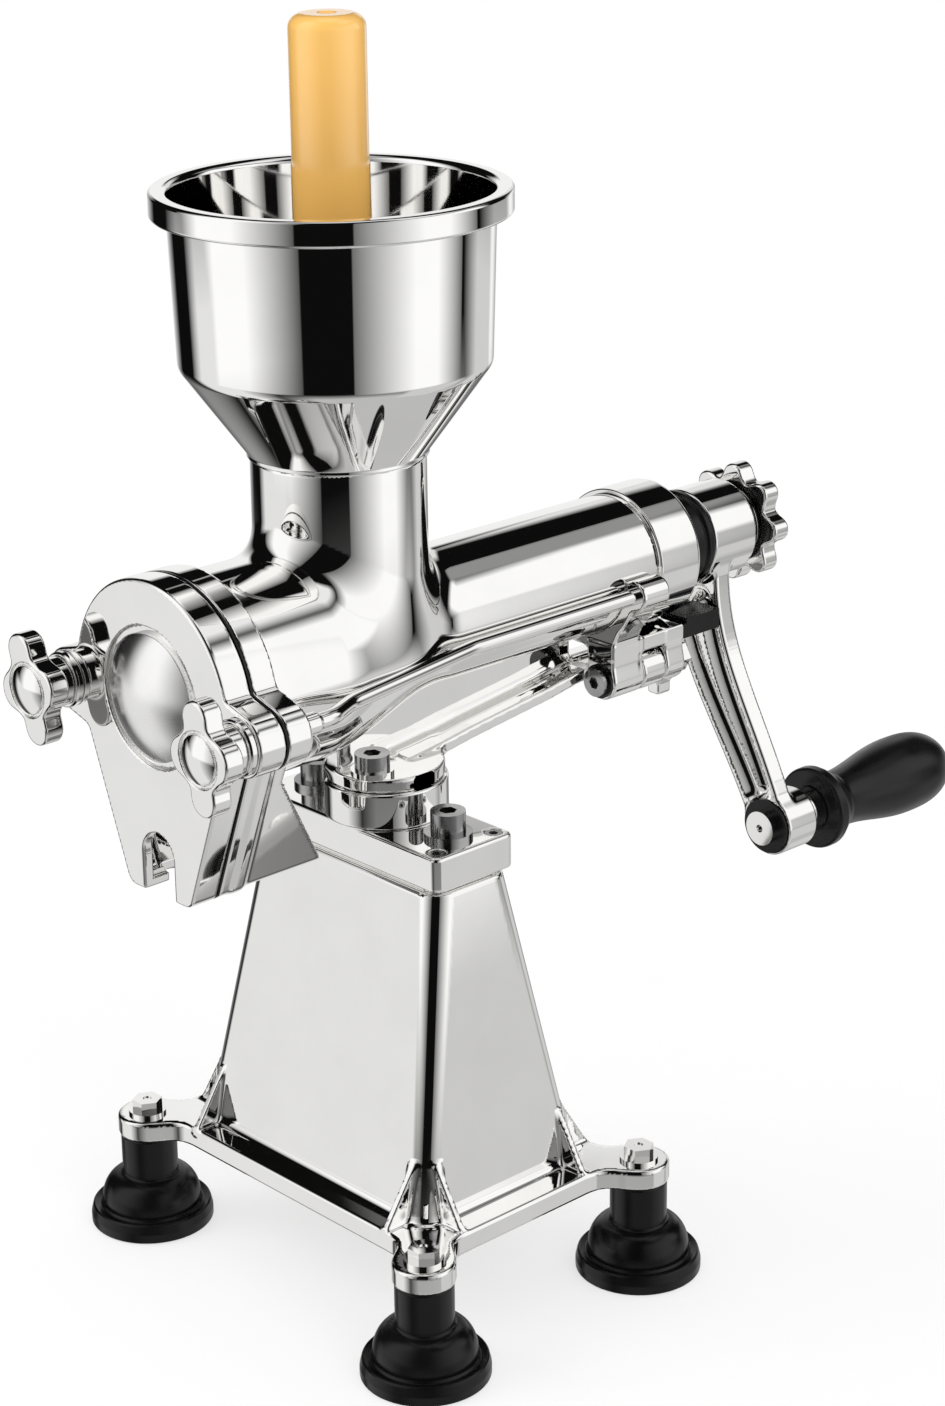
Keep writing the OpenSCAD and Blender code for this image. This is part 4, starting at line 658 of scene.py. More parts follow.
CASTING = Finish("polished_casting", (0.97, 0.965, 0.95), (0.94, 0.935, 0.92), 1.0, 0.02, 0.045)
SHEET = Finish("polished_sheet", (0.98, 0.975, 0.965), (0.955, 0.95, 0.94), 1.0, 0.015, 0.035)
SATIN_SHEET = Finish("satin_sheet", (0.98, 0.975, 0.965), (0.955, 0.95, 0.94), 1.0, 0.2, 0.28)
TURNED_STEEL = Finish("polished_steel", (0.96, 0.95, 0.935), (0.92, 0.91, 0.895), 1.0, 0.035, 0.07)
SCREW_STEEL = Finish("screw_steel", (0.42, 0.42, 0.42), (0.34, 0.34, 0.34), 1.0, 0.16, 0.28)
CUTTING_STEEL = Finish("cutting_steel", (0.6, 0.6, 0.59), (0.5, 0.5, 0.49), 1.0, 0.22, 0.36)
BRONZE = Finish("bearing_bronze", (0.62, 0.45, 0.26), (0.5, 0.35, 0.2), 1.0, 0.25, 0.4)
RUBBER = Finish(
    "black_rubber", (0.003, 0.003, 0.0032), (0.005, 0.005, 0.0055), 0.0, 0.2, 0.3, 60.0, 1400.0, 0.00003, specular=0.3
)
GRIP_PLASTIC = Finish(
    "black_grip", (0.004, 0.004, 0.0043), (0.007, 0.007, 0.0075), 0.0, 0.24, 0.32, 60.0, 1200.0, 0.00002, specular=0.35
)
CREAM = Finish(
    "cream_plastic", (0.96, 0.56, 0.15), (0.94, 0.535, 0.14), 0.0, 0.16, 0.22, 25.0, 700.0, 0.000008, 1.0, 0.1
)


def dress(obj: bpy.types.Object, finish: Finish, body: str, slot: str, *nodes: str) -> bpy.types.Object:
    """Gives a new piece its finish, its body and the CAD nodes that it stands for.

    Args:
        obj: The piece.
        finish: Its finish.
        body: The CAD body that it rides on.
        slot: The record's material slot; not used.
        nodes: CAD nodes that it replaces.

    Returns:
        The same piece.
    """
    obj.data.materials.clear()
    obj.data.materials.append(finish.material())
    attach(obj, body)
    if nodes:
        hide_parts(*nodes)
    LOG.info("%s: %d faces on %s", obj.name, len(obj.data.polygons), body)
    return obj


def paint_node(node: str, finish: Finish) -> None:
    """Gives a CAD node that stays its finish."""
    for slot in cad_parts[node].material_slots:
        slot.material = finish.material()


# ---- Outlines shared by the cover, its gasket and the barrel ---------------


@dataclass
class FrontOutline:
    """The front's outline about the barrel's axis: a disc, two ears and a skirt that narrows to its foot."""

    half_width: float = 60.5
    disc_r: float = 42.0
    skirt_drop: float = 74.0
    skirt_half: float = 18.8
    foot_r: float = 5.0
    ear_r: float = 11.3
    ear_root_r: float = 19.0
    ear_root_x: float = 20.0
    stud_drop: float = 5.0
    arch_half: float = 8.5
    arch_h: float = 23.5
    arch_run_out: float = 20.0

    def skirt(self, x: Array, z: Array, inset: float) -> Array:
        """Distance to the disc with its skirt.

        Args:
            x: Places along X.
            z: Places along Z.
            inset: How far the outline is drawn in.

        Returns:
            The distances.
        """
        w = z - SPOT.axis_z
        fx, fz = self.skirt_half - self.foot_r, self.foot_r - self.skirt_drop
        side = belt_2d(np.abs(x), w, (0.0, 0.0), self.disc_r, (fx, fz), self.foot_r)
        middle = box_2d(x, w + self.skirt_drop / 2, fx, self.skirt_drop / 2, 0.0)
        return np.minimum(side, middle) + inset

    def whole(self, x: Array, z: Array) -> Array:
        """Distance to the whole outline with its ears.

        Args:
            x: Places along X.
            z: Places along Z.

        Returns:
            The distances.
        """
        w = z - SPOT.axis_z
        root, tip = (self.ear_root_x, -self.stud_drop), (SPOT.stud_x, -self.stud_drop)
        ear = belt_2d(np.abs(x), w, root, self.ear_root_r, tip, self.ear_r)
        return smooth_union(self.skirt(x, z, 0.0), ear, 2.0)

    def arch(self, x: Array, z: Array) -> Array:
        """Distance to the arched outlet: a disc on a square that runs out below.

        Args:
            x: Places along X.
            z: Places along Z.

        Returns:
            The distances.
        """
        w = z - SPOT.axis_z + self.skirt_drop
        top, more = self.arch_h - self.arch_half, self.arch_run_out / 2
        square = box_2d(x, w - top / 2 + more, self.arch_half, top / 2 + more, 0.0)
        return np.minimum(np.hypot(x, w - top) - self.arch_half, square)


OUTLINE = FrontOutline()


@dataclass
class BarrelCasting:
    """The barrel: head, taper and tube, filling neck, front flange and the hood over the outlet."""

    head_r: float = 38.5
    tube_r: float = 25.5
    bore_r: float = 22.0
    neck_r: float = 31.3
    neck_bore_r: float = 27.8
    chamber_r: float = 31.1
    taper_front: float = -47.0
    taper_back: float = 19.0
    chamber_back: float = -64.0
    neck_fillet: float = 11.0
    hood_len: float = 37.0
    hood_top_len: float = 8.0
    mouth_half: tuple[float, float] = (15.6, 12.0)
    wall: float = 3.2

    def radius(self, y: Array) -> Array:
        """Outer radius along the barrel: head, a smooth fall (3t^2 - 2t^3), tube."""
        t = np.clip((y - self.taper_front) / (self.taper_back - self.taper_front), 0, 1)
        return self.head_r - (self.head_r - self.tube_r) * t * t * (3 - 2 * t)

    def shape(self, x: Array, y: Array, z: Array) -> Array:
        """The casting's field: outside forms joined with fillets, less the bores.

        Args:
            x: Places along X.
            y: Places along Y.
            z: Places along Z.

        Returns:
            The field's values.
        """
        w = z - SPOT.axis_z
        rho = np.hypot(x, w)
        ends = np.maximum(y - SPOT.tube_end, SPOT.flange_back - 3 - y)
        body = smooth_both((rho - self.radius(y)) * 0.97, ends, 1.2)
        plan = np.hypot(x, y - SPOT.neck_y)
        neck = smooth_both(plan - self.neck_r, np.maximum(z - SPOT.neck_top, SPOT.axis_z - z), 0.8)
        solid = smooth_union(body, neck, self.neck_fillet)
        flange = thick(OUTLINE.whole(x, z), y, SPOT.flange_front, SPOT.flange_back, 0.9)
        solid = smooth_union(solid, flange, 2.2)
        front, foot, top = SPOT.flange_back - 4, SPOT.flange_back + self.hood_len, SPOT.flange_back + self.hood_top_len
        under, crook = SPOT.skirt_z + 2.0, SPOT.axis_z - 30.5
        corners = [(front, SPOT.skirt_z), (foot, SPOT.skirt_z), (foot, under), (top, crook)]
        side = polygon_2d(y, z, corners + [(top, SPOT.axis_z - 5.0), (front, SPOT.axis_z - 5.0)])
        hood = smooth_both(OUTLINE.skirt(x, z, 0.6), side, 1.6)
        solid = smooth_union(solid, hood, 3.0)
        bore = np.minimum(rho - self.bore_r, np.maximum(rho - self.chamber_r, y - self.chamber_back))
        throat = np.maximum(plan - self.neck_bore_r, SPOT.axis_z + 4 - z)
        front, below, crook = SPOT.flange_front - 4, SPOT.axis_z - 90.0, SPOT.axis_z - 35.0
        foot, top = foot - self.wall, top - self.wall
        inner = polygon_2d(y, z, [(front, below), (foot, below), (foot, under), (top, crook), (front, crook)])
        mouth = box_2d(x, w + 80, *self.mouth_half, 0.0)
        space = np.maximum(np.minimum(OUTLINE.skirt(x, z, self.wall), mouth), inner)
        solid = smooth_cut(solid, np.minimum(bore, throat), 1.0)
        return smooth_cut(solid, space, 1.0)

    def build(self) -> None:
        """Casts the barrel."""
        low = (-OUTLINE.half_width, SPOT.flange_front, SPOT.skirt_z)
        high = (OUTLINE.half_width, SPOT.tube_end, SPOT.neck_top)
        dress(cast("barrel_casting", self.shape, low, high, 1.15), CASTING, "frame", "polished_casting", "barrel")


@dataclass
class FrontCover:
    """The cover plate, its groove and its domed cap."""

    wall: float = 4.5
    dome_r: float = 23.0
    dome_h: float = 8.0
    dome_sink: float = 2.0
    groove_w: float = 2.6
    groove_d: float = 2.0
    chamber_r: float = 30.0
    skirt_wall: float = 3.2
    skirt_drop: float = 15.0

    def shape(self, x: Array, y: Array, z: Array) -> Array:
        """The plate's field: the outline made thick, less the arch, the groove and the space behind the wall.

        Args:
            x: Places along X.
            y: Places along Y.
            z: Places along Z.

        Returns:
            The field's values.
        """
        rho = np.hypot(x, z - SPOT.axis_z)
        flat = smooth_cut(OUTLINE.whole(x, z), OUTLINE.arch(x, z), 0.8)
        plate = thick(flat, y, SPOT.cover_front, SPOT.cover_back, 1.1)
        groove = np.abs(rho - self.dome_r - 0.5) - self.groove_w + 0.5
        ring = thick(groove, y, SPOT.cover_front - 5, SPOT.cover_front + self.groove_d, 0.6)
        plate = smooth_cut(plate, ring, 0.7)
        below = np.maximum(OUTLINE.skirt(x, z, self.skirt_wall), z - SPOT.axis_z + self.skirt_drop)
        inside = np.minimum(rho - self.chamber_r, below)
        return smooth_cut(plate, np.maximum(inside, SPOT.cover_front + self.wall - y), 0.7)

    def build(self) -> None:
        """Makes the cover and its cap."""
        low = (-OUTLINE.half_width, SPOT.cover_front, SPOT.skirt_z)
        high = (OUTLINE.half_width, SPOT.cover_back, SPOT.axis_z + OUTLINE.disc_r + 0.5)
        dress(cast("cover_plate", self.shape, low, high, 0.8), CASTING, "frame", "polished_casting", "front_cover")
        ball = (self.dome_r**2 + self.dome_h**2) / (2 * self.dome_h)
        a = np.linspace(math.asin(self.dome_r * 0.985 / ball), 0, 28)
        dome = np.stack([ball * np.sin(a), np.cos(a) * ball - ball + self.dome_h], 1)
        lean = np.stack([np.sin(a), np.cos(a)], 1)
        edge = [self.dome_r, -self.dome_sink]
        pts = np.concatenate([[[0.0, -self.dome_sink], edge, edge, [self.dome_r, 0.15]], dome])
        nrm = np.concatenate([[[0.0, -1.0], [0.0, -1.0], [1.0, 0.0], [1.0, 0.0]], lean])
        profile = Outline(pts * [1, -1], nrm * [1, -1])
        cap = turned("domed_cap", profile, (0, SPOT.cover_front, SPOT.axis_z), Way.BACK, 128)
        dress(cap, SATIN_SHEET, "frame", "polished_sheet", "dome_cap")


@dataclass
class Hopper:
    """The spun hopper: spout, cone, rolled turn, bowl and heavy rim."""

    wall: float = 2.0
    spout_r: float = 27.7
    spout_len: float = 18.0
    lip_r: float = 32.4
    foot_r: float = 55.3
    bowl_r: float = 57.0
    rim_r: float = 63.0
    rim_h: float = 9.0
    cone_h: float = 33.5
    bowl_h: float = 61.0

    def build(self) -> None:
        """Turns the hopper about the neck's axis."""
        w, top = self.wall, self.cone_h + self.bowl_h
        corners = [
            (self.spout_r - w, -self.spout_len, 0.5),
            (self.spout_r, -self.spout_len, 0.5),
            (self.spout_r, 0.0, 0.0),
            (self.lip_r, 0.0, 0.5),
            (self.lip_r, 1.6, 0.8),
            (self.foot_r, self.cone_h - 0.5, 6.0),
            (self.bowl_r, top - self.rim_h, 1.2),
            (self.rim_r, top - self.rim_h, 1.2),
            (self.rim_r, top, 1.3),
            (self.bowl_r - 0.5, top, 2.4),
            (self.foot_r - w, self.cone_h + 0.3, 5.0),
            (self.spout_r - w, 3.0, 3.0),
        ]
        profile = Outline.rounded(corners, closed=True, arc=8)
        hopper = turned("spun_hopper", profile, (0, SPOT.neck_y, SPOT.neck_top), Way.UP, 160)
        dress(hopper, SHEET, "frame", "polished_sheet", "hopper")


@dataclass
class Pusher:
    """The round pusher that stands in the hopper."""

    radius: float = 13.4
    low: float = 273.3
    high: float = 474.5
    dome: float = 10.0
    dimple_r: float = 3.4
    dimple_d: float = 0.8

    def build(self) -> None:
        """Turns the pusher, with its domed top and the moulding dimple."""
        corners = [
            (0.0, self.low, 0.0),
            (self.radius, self.low, 3.0),
            (self.radius, self.high, self.dome),
            (self.dimple_r, self.high, 0.5),
            (self.dimple_r - 0.6, self.high - self.dimple_d, 1.0),
            (0.0, self.high - self.dimple_d, 0.0),
        ]
        obj = turned("pusher_body", Outline.rounded(corners, arc=14), (0, SPOT.neck_y, 0), Way.UP, 96)
        dress(obj, CREAM, "pusher", "cream_plastic", "pusher")


@dataclass
class Stand:
    """The pedestal with its ribs, the plate on top, and the feet."""

    foot_half: tuple[float, float] = (65.0, 41.0)
    top_half: tuple[float, float] = (50.0, 19.0)
    base_half: tuple[float, float] = (77.0, 51.5)
    ear_r: float = 11.6
    ear_fillet: float = 13.0
    corner_r: float = 9.0
    slant: float = 0.985
    wall: float = 3.0
    roof: float = 6.0
    pad_inset: float = 3.0
    rib_h: float = 22.0
    rib_reach: float = 10.0
    rib_t: float = 3.0
    plate_half: tuple[float, float] = (51.0, 19.5)
    sink_at: tuple[float, float] = (45.5, 14.0)
    sink_r: float = 3.4
    sink_d: float = 2.0

    def tower(self, x: Array, y: Array, z: Array, inset: float, r: float) -> Array:
        """Distance to the tapering tower: a round-cornered rectangle that shrinks evenly with height.

        Its walls lean, so the distance across them is the level one times the cosine of their slant.

        Args:
            x: Places along X.
            y: Places along Y.
            z: Places along Z.
            inset: How far the walls are drawn in.
            r: Radius of the upright corners.

        Returns:
            The distances.
        """
        t = (z - SPOT.base_top) / (SPOT.tower_top - SPOT.base_top)
        hx = self.foot_half[0] + (self.top_half[0] - self.foot_half[0]) * t - inset
        hy = self.foot_half[1] + (self.top_half[1] - self.foot_half[1]) * t - inset
        return box_2d(x, y, hx, hy, r) * self.slant

    def shape(self, x: Array, y: Array, z: Array) -> Array:
        """The pedestal's field: base plate with ears, tower and corner ribs, less the hollow.

        Args:
            x: Places along X.
            y: Places along Y.
            z: Places along Z.

        Returns:
            The field's values.
        """
        ax, ay = np.abs(x), np.abs(y)
        plate = box_2d(x, y, *self.base_half, 0.5)
        ears = np.hypot(ax - SPOT.foot_dx, ay - SPOT.foot_dy) - self.ear_r
        base = thick(smooth_union(plate, ears, self.ear_fillet), z, SPOT.base_z, SPOT.base_top, 1.3)
        ends = np.maximum(z - SPOT.tower_top, SPOT.base_top - 3 - z)
        tower = smooth_both(self.tower(x, y, z, 0.0, self.corner_r), ends, 1.6)
        solid = smooth_union(base, tower, 3.0)
        rise = z - SPOT.base_top
        for u, v, foot, other, top in (
            (ax, ay, self.foot_half[0], self.foot_half[1], self.top_half[0]),
            (ay, ax, self.foot_half[1], self.foot_half[0], self.top_half[1]),
        ):
            lean = (foot - top) * self.rib_h / (SPOT.tower_top - SPOT.base_top)
            run = [(-lean - 3, -2), (self.rib_reach, -2), (self.rib_reach, 0.6)]
            side = polygon_2d(u - foot, rise, run + [(-lean, self.rib_h), (-lean - 3, self.rib_h)])
            rib = thick(side, v - other + self.corner_r + 1.0, -self.rib_t / 2, self.rib_t / 2, 0.8)
            solid = smooth_union(solid, rib, 2.0)
        level = box_2d(x, y, self.top_half[0] - self.pad_inset, self.top_half[1] - self.pad_inset, 5.0)
        pad = thick(level, z, SPOT.tower_top - 3, SPOT.plate_z, 0.2)
        hollow = np.maximum(self.tower(x, y, z, self.wall, self.corner_r - self.wall), z - SPOT.tower_top + self.roof)
        return smooth_cut(np.minimum(solid, pad), hollow, 1.0)

    def plate_shape(self, x: Array, y: Array, z: Array) -> Array:
        """The top plate's field: a thick round-cornered rectangle with four countersunk holes.

        Args:
            x: Places along X.
            y: Places along Y.
            z: Places along Z.

        Returns:
            The field's values.
        """
        plate = thick(box_2d(x, y, *self.plate_half, 3.5), z, SPOT.plate_z, SPOT.plate_top, 1.3)
        round_it = np.hypot(np.abs(x) - self.sink_at[0], np.abs(y) - self.sink_at[1]) - self.sink_r
        return smooth_cut(plate, np.maximum(round_it, SPOT.plate_top - self.sink_d - z), 0.6)

    def foot_profile(self) -> Outline:
        """The foot's side: a hollow sole, a lip with a ledge inside it, an elliptical dome and a neck.

        Returns:
            The profile, from the middle of the sole to the bottom of the well for the insert.
        """
        sole = [(0.0, 6.0, 0.0), (20.5, 0.05, 0.5), (24.0, 0.0, 0.8), (24.0, 3.8, 2.0), (23.2, 7.0, 0.8)]
        ledge = [(22.6, 7.6, 0.3), (20.1, 7.0, 0.5), (19.4, 8.0, 0.5), (19.4, 9.0, 0.0)]
        low = Outline.rounded(sole + ledge, arc=6)
        a = np.linspace(0.0, math.radians(80), 24)
        centre, across, up = (11.5, 9.0), 7.9, 11.0
        dome = np.stack([centre[0] + across * np.cos(a), centre[1] + up * np.sin(a)], 1)
        lean = np.stack([up * np.cos(a), across * np.sin(a)], 1)
        neck_r, well_r, well_z = 10.9, 6.2, 19.5
        neck = [(*dome[-1], 0.0), (neck_r, 20.3, 1.4), (neck_r, SPOT.base_z, 0.8)]
        well = [(well_r, SPOT.base_z, 0.3), (well_r, well_z, 0.3), (0.0, well_z, 0.0)]
        high = Outline.rounded(neck + well, arc=6)
        pts = np.concatenate([low.points, dome, high.points])
        nrm = np.concatenate([low.normals, lean / np.linalg.norm(lean, axis=1, keepdims=True), high.normals])
        return Outline(pts, nrm)

    def build(self) -> None:
        """Makes the pedestal, the plate and the four feet."""
        across, along = SPOT.foot_dx + self.ear_r, SPOT.foot_dy + self.ear_r
        low, high = (-across, -along, SPOT.base_z), (across, along, SPOT.plate_z)
        dress(cast("pedestal_casting", self.shape, low, high, 1.25), CASTING, "frame", "polished_casting", "pedestal")
        across, along = self.plate_half
        low, high = (-across, -along, SPOT.plate_z), (across, along, SPOT.plate_top)
        dress(cast("plate_block", self.plate_shape, low, high, 0.8), CASTING, "frame", "polished_casting", "top_plate")
        profile = self.foot_profile()
        for sx, side in ((-1, "left"), (1, "right")):
            for sy, end in ((-1, "front"), (1, "rear")):
                under = (sx * SPOT.foot_dx, sy * SPOT.foot_dy, 0)
                foot = turned(f"suction_{end}_{side}", profile, under, Way.UP, 96)
                dress(foot, RUBBER, "frame", "black_rubber", f"foot_{end}_{side}")


@dataclass
class Support:
    """The turret, the arm that carries the barrel, and the bracket with its pivot at the rear."""

    turret_r: float = 23.5
    flat_deg: float = 218.0
    flat_d: float = 2.5
    flange_r: float = 22.3
    web: tuple[float, float] = (-10.0, -3.0)
    lower: tuple[float, float] = (-14.0, 8.0)
    web_rear: float = 101.0
    rib_rear: float = 98.8
    tail_y: float = 110.9
    tail_half: tuple[float, float] = (19.9, 6.3)
    arm_lug: tuple[float, float] = (119.8, 131.8)
    arm_lug_mid: float = 2.75
    arm_lug_half: float = 9.25
    lug_r: float = 7.8
    lug_half: float = 6.8
    front_lug_back: float = 119.5
    rear_lug: tuple[float, float] = (132.1, 142.1)
    tab_half: tuple[float, float] = (3.0, 5.0)
    band_r: float = 30.5
    ear_r: float = 6.0
    rod_x: float = 29.5
    rod_r: float = 2.95
    stud_r: float = 3.95
    stud_front: float = -120.5
    stud_len: float = 51.4
    thread_r: tuple[float, float] = (3.9, 3.45)
    thread_pitch: float = 1.25
    thread_turns: int = 12
    barrel: BarrelCasting = field(default_factory=BarrelCasting)

    def turret_shape(self, x: Array, y: Array, z: Array) -> Array:
        """The turret's field: a round block with one flat.

        Args:
            x: Places along X.
            y: Places along Y.
            z: Places along Z.

        Returns:
            The field's values.
        """
        v = y - SPOT.turret_y
        a = math.radians(self.flat_deg)
        flat = x * math.cos(a) + v * math.sin(a) - (self.turret_r - self.flat_d)
        return thick(smooth_both(np.hypot(x, v) - self.turret_r, flat, 0.5), z, SPOT.plate_top, SPOT.turret_top, 1.0)

    def arm_shape(self, x: Array, y: Array, z: Array) -> Array:
        """The arm's field: foot flange, web, lower flange and pivot lug, less the barrel's seat.

        Args:
            x: Places along X.
            y: Places along Y.
            z: Places along Z.

        Returns:
            The field's values.
        """
        v = y - SPOT.turret_y
        disc = thick(np.hypot(x, v) - self.flange_r, z, SPOT.turret_top, SPOT.flange_top, 0.9)
        rear = SPOT.pivot_z + 4.5
        under = SPOT.axis_z - 15
        head = [(-17.3, 199.5), (-19.3, SPOT.axis_z - 26.5), (SPOT.neck_y, under), (self.web_rear, under)]
        foot = [(self.web_rear, rear), (80.0, rear - 3.5), (40.0, 205.5), (14.0, 199.5)]
        solid = smooth_union(disc, thick(polygon_2d(y, z, head + foot), x, *self.web, 0.8), 5.0)
        above = [(8.0, 195.5), (8.0, 200.5), (40.0, 205.5), (80.0, rear - 2.5), (self.rib_rear, rear + 0.6)]
        below = [(self.rib_rear, rear - 4.3), (80.0, rear - 7.5), (40.0, 200.5)]
        solid = smooth_union(solid, thick(polygon_2d(y, z, above + below), x, *self.lower, 1.2), 4.0)
        rise = z - SPOT.pivot_z - 0.5
        tail = thick(box_2d(y - self.tail_y, rise, *self.tail_half, 1.5), x, *self.web, 1.2)
        solid = smooth_union(solid, tail, 2.0)
        eye = np.hypot(x - SPOT.pivot_x, z - SPOT.pivot_z) - self.lug_r
        root = box_2d(x - self.arm_lug_mid, rise, self.arm_lug_half, self.tail_half[1], 0.5)
        lug = thick(np.minimum(eye, root), y, *self.arm_lug, 0.8)
        solid = smooth_union(solid, lug, 1.5)
        rho = np.hypot(x, z - SPOT.axis_z)
        seat = rho - self.barrel.radius(y) - 0.15
        return smooth_cut(solid, seat, 0.3)

    def bracket_shape(self, x: Array, y: Array, z: Array) -> Array:
        """The bracket's field: band, rod ears, strap, bridge and the two lugs.

        Args:
            x: Places along X.
            y: Places along Y.
            z: Places along Z.

        Returns:
            The field's values.
        """
        w = z - SPOT.axis_z
        rho = np.hypot(x, w)
        drop = SPOT.axis_z - SPOT.stud_z
        band = smooth_both(rho - self.band_r, w + drop, 0.6)
        ears = np.hypot(np.abs(x) - self.rod_x, w + drop) - self.ear_r
        u, half = x - SPOT.pivot_x, self.lug_half
        strap = box_2d(u, w + 33.5, half, 10.0, 0.5)
        plate = smooth_union(smooth_union(band, ears, 3.0), strap, 5.0)
        solid = thick(plate, y, SPOT.band_front, SPOT.band_back, 1.0)
        lug = np.hypot(u, z - SPOT.pivot_z) - self.lug_r
        lugs = smooth_union(lug, box_2d(u, z - 216.2, half, 7.7, 0.5), 2.0)
        for span in ((SPOT.band_front, self.front_lug_back), self.rear_lug):
            solid = smooth_union(solid, thick(lugs, y, *span, 0.9), 1.2)
        bridge = thick(box_2d(u, z - 220.9, half, 3.0, 0.8), y, SPOT.band_front, self.rear_lug[1], 0.8)
        solid = smooth_union(solid, bridge, 1.2)
        tab = thick(box_2d(u, z - 200.7, *self.tab_half, 1.0), y, self.rear_lug[0], self.rear_lug[0] + 7.0, 0.9)
        solid = smooth_union(solid, tab, 1.5)
        return smooth_cut(solid, np.minimum(rho - 25.6, np.maximum(rho - 27.7, 117.6 - y)), 0.4)

    def build(self) -> None:
        """Casts the three pieces and turns the small ones."""
        low, high = (-23.5, -21.5, SPOT.plate_top), (23.5, 25.5, SPOT.turret_top)
        dress(cast("turret_block", self.turret_shape, low, high, 0.8), CASTING, "frame", "polished_casting", "turret")
        low, high = (-23.0, -21.0, 194.5), (20.5, 132.5, 238.0)
        dress(cast("arm_casting", self.arm_shape, low, high, 0.85), CASTING, "frame", "polished_casting", "support_arm")
        low, high = (-36.0, SPOT.band_front, 195.0), (36.0, 142.5, 254.0)
        bracket = cast("bracket_casting", self.bracket_shape, low, high, 0.7)
        dress(bracket, CASTING, "frame", "polished_casting", "rear_bracket")
        for sx, side in ((-1, "left"), (1, "right")):
            self.rod(sx, side)

    def rod(self, sx: int, side: str) -> None:
        """Sweeps a tie rod with its two bends and turns the stud in front of it, with its thread.

        Args:
            sx: -1 for the left rod and 1 for the right one.
            side: The side's name.
        """
        z = SPOT.stud_z
        y0 = SPOT.flange_back
        bends = [(SPOT.stud_x, y0 + 6), (SPOT.stud_x, y0 + 18), (42.1, y0 + 31)]
        ends = [(self.rod_x, 19.3), (self.rod_x, SPOT.band_back - 1.5)]
        knots = np.array([(x, y, z) for x, y in bends + ends])
        span = np.concatenate([[0], np.cumsum(np.linalg.norm(np.diff(knots, axis=0), axis=1))])
        t = np.linspace(0, span[-1], 260)
        path = np.stack([np.interp(t, span, knots[:, i]) for i in range(3)], 1)
        kernel = np.hanning(15) / np.hanning(15).sum()
        side_by_side = [np.convolve(np.pad(path[:, i], 7, mode="edge"), kernel, mode="valid") for i in range(3)]
        middle = np.stack(side_by_side, 1) * (sx, 1, 1)
        rod = swept(f"tie_rod_{side}_bar", middle, np.full(len(middle), self.rod_r))
        dress(rod, TURNED_STEEL, "frame", "polished_steel")
        crest, root = self.thread_r
        thread = [(0.0, 0.0, 0.0), (3.3, 0.0, 0.4)]
        for i in range(self.thread_turns):
            at = i * self.thread_pitch
            thread += [(crest, 0.9 + at, 0.15), (root, 1.5 + at, 0.15)]
        thread += [(self.stud_r, 16.4, 0.3), (self.stud_r, self.stud_len - 1.9, 0.6)]
        thread += [(2.9, self.stud_len, 0.3), (0.0, self.stud_len, 0.0)]
        tip = (sx * SPOT.stud_x, self.stud_front, z)
        stud = turned(f"tie_rod_{side}_stud", Outline.rounded(thread, arc=3), tip, Way.BACK, 48)
        dress(stud, TURNED_STEEL, "frame", "polished_steel", f"tie_rod_{side}")


@dataclass
class RearEnd:
    """The collar and the seal at the barrel's rear."""

    bore_r: float = 12.05
    spigot_r: float = 21.9
    spigot_len: float = 6.0
    collar_r: float = 27.3
    collar_len: float = 22.4
    nose_r: float = 2.6
    face_r: float = 19.6
    seal_bore_r: float = 9.4
    seal_r: float = 18.9
    lip_r: float = 19.2
    seal_len: float = 16.2

    def build(self) -> None:
        """Turns the collar with its rounded nose, and the seal."""
        start = -self.spigot_len
        inside = [(self.bore_r, start, 0.3), (self.spigot_r, start, 0.3), (self.spigot_r, 0.0, 0.0)]
        outside = [(self.collar_r, 0.0, 0.6), (self.collar_r, self.collar_len, self.nose_r)]
        face = [(self.face_r, self.collar_len, 0.3), (self.bore_r, self.collar_len, 0.3)]
        outline = Outline.rounded(inside + outside + face, closed=True, arc=6)
        obj = turned("rear_collar_turned", outline, (0, SPOT.tube_end, SPOT.axis_z), Way.BACK, 128)
        dress(obj, CASTING, "frame", "polished_casting", "rear_collar")
        body = [(self.seal_bore_r, 0.0, 0.0), (self.seal_r, 0.0, 0.3), (self.seal_r, 11.2, 0.9), (17.9, 12.2, 0.5)]
        lip = [(self.lip_r, 13.4, 0.8), (self.lip_r, self.seal_len, 0.9), (self.seal_bore_r, self.seal_len, 0.0)]
        outline = Outline.rounded(body + lip, arc=5)
        obj = turned("seal_ring", outline, (0, SPOT.collar_end, SPOT.axis_z), Way.BACK, 96)
        dress(obj, RUBBER, "frame", "black_rubber", "shaft_seal")


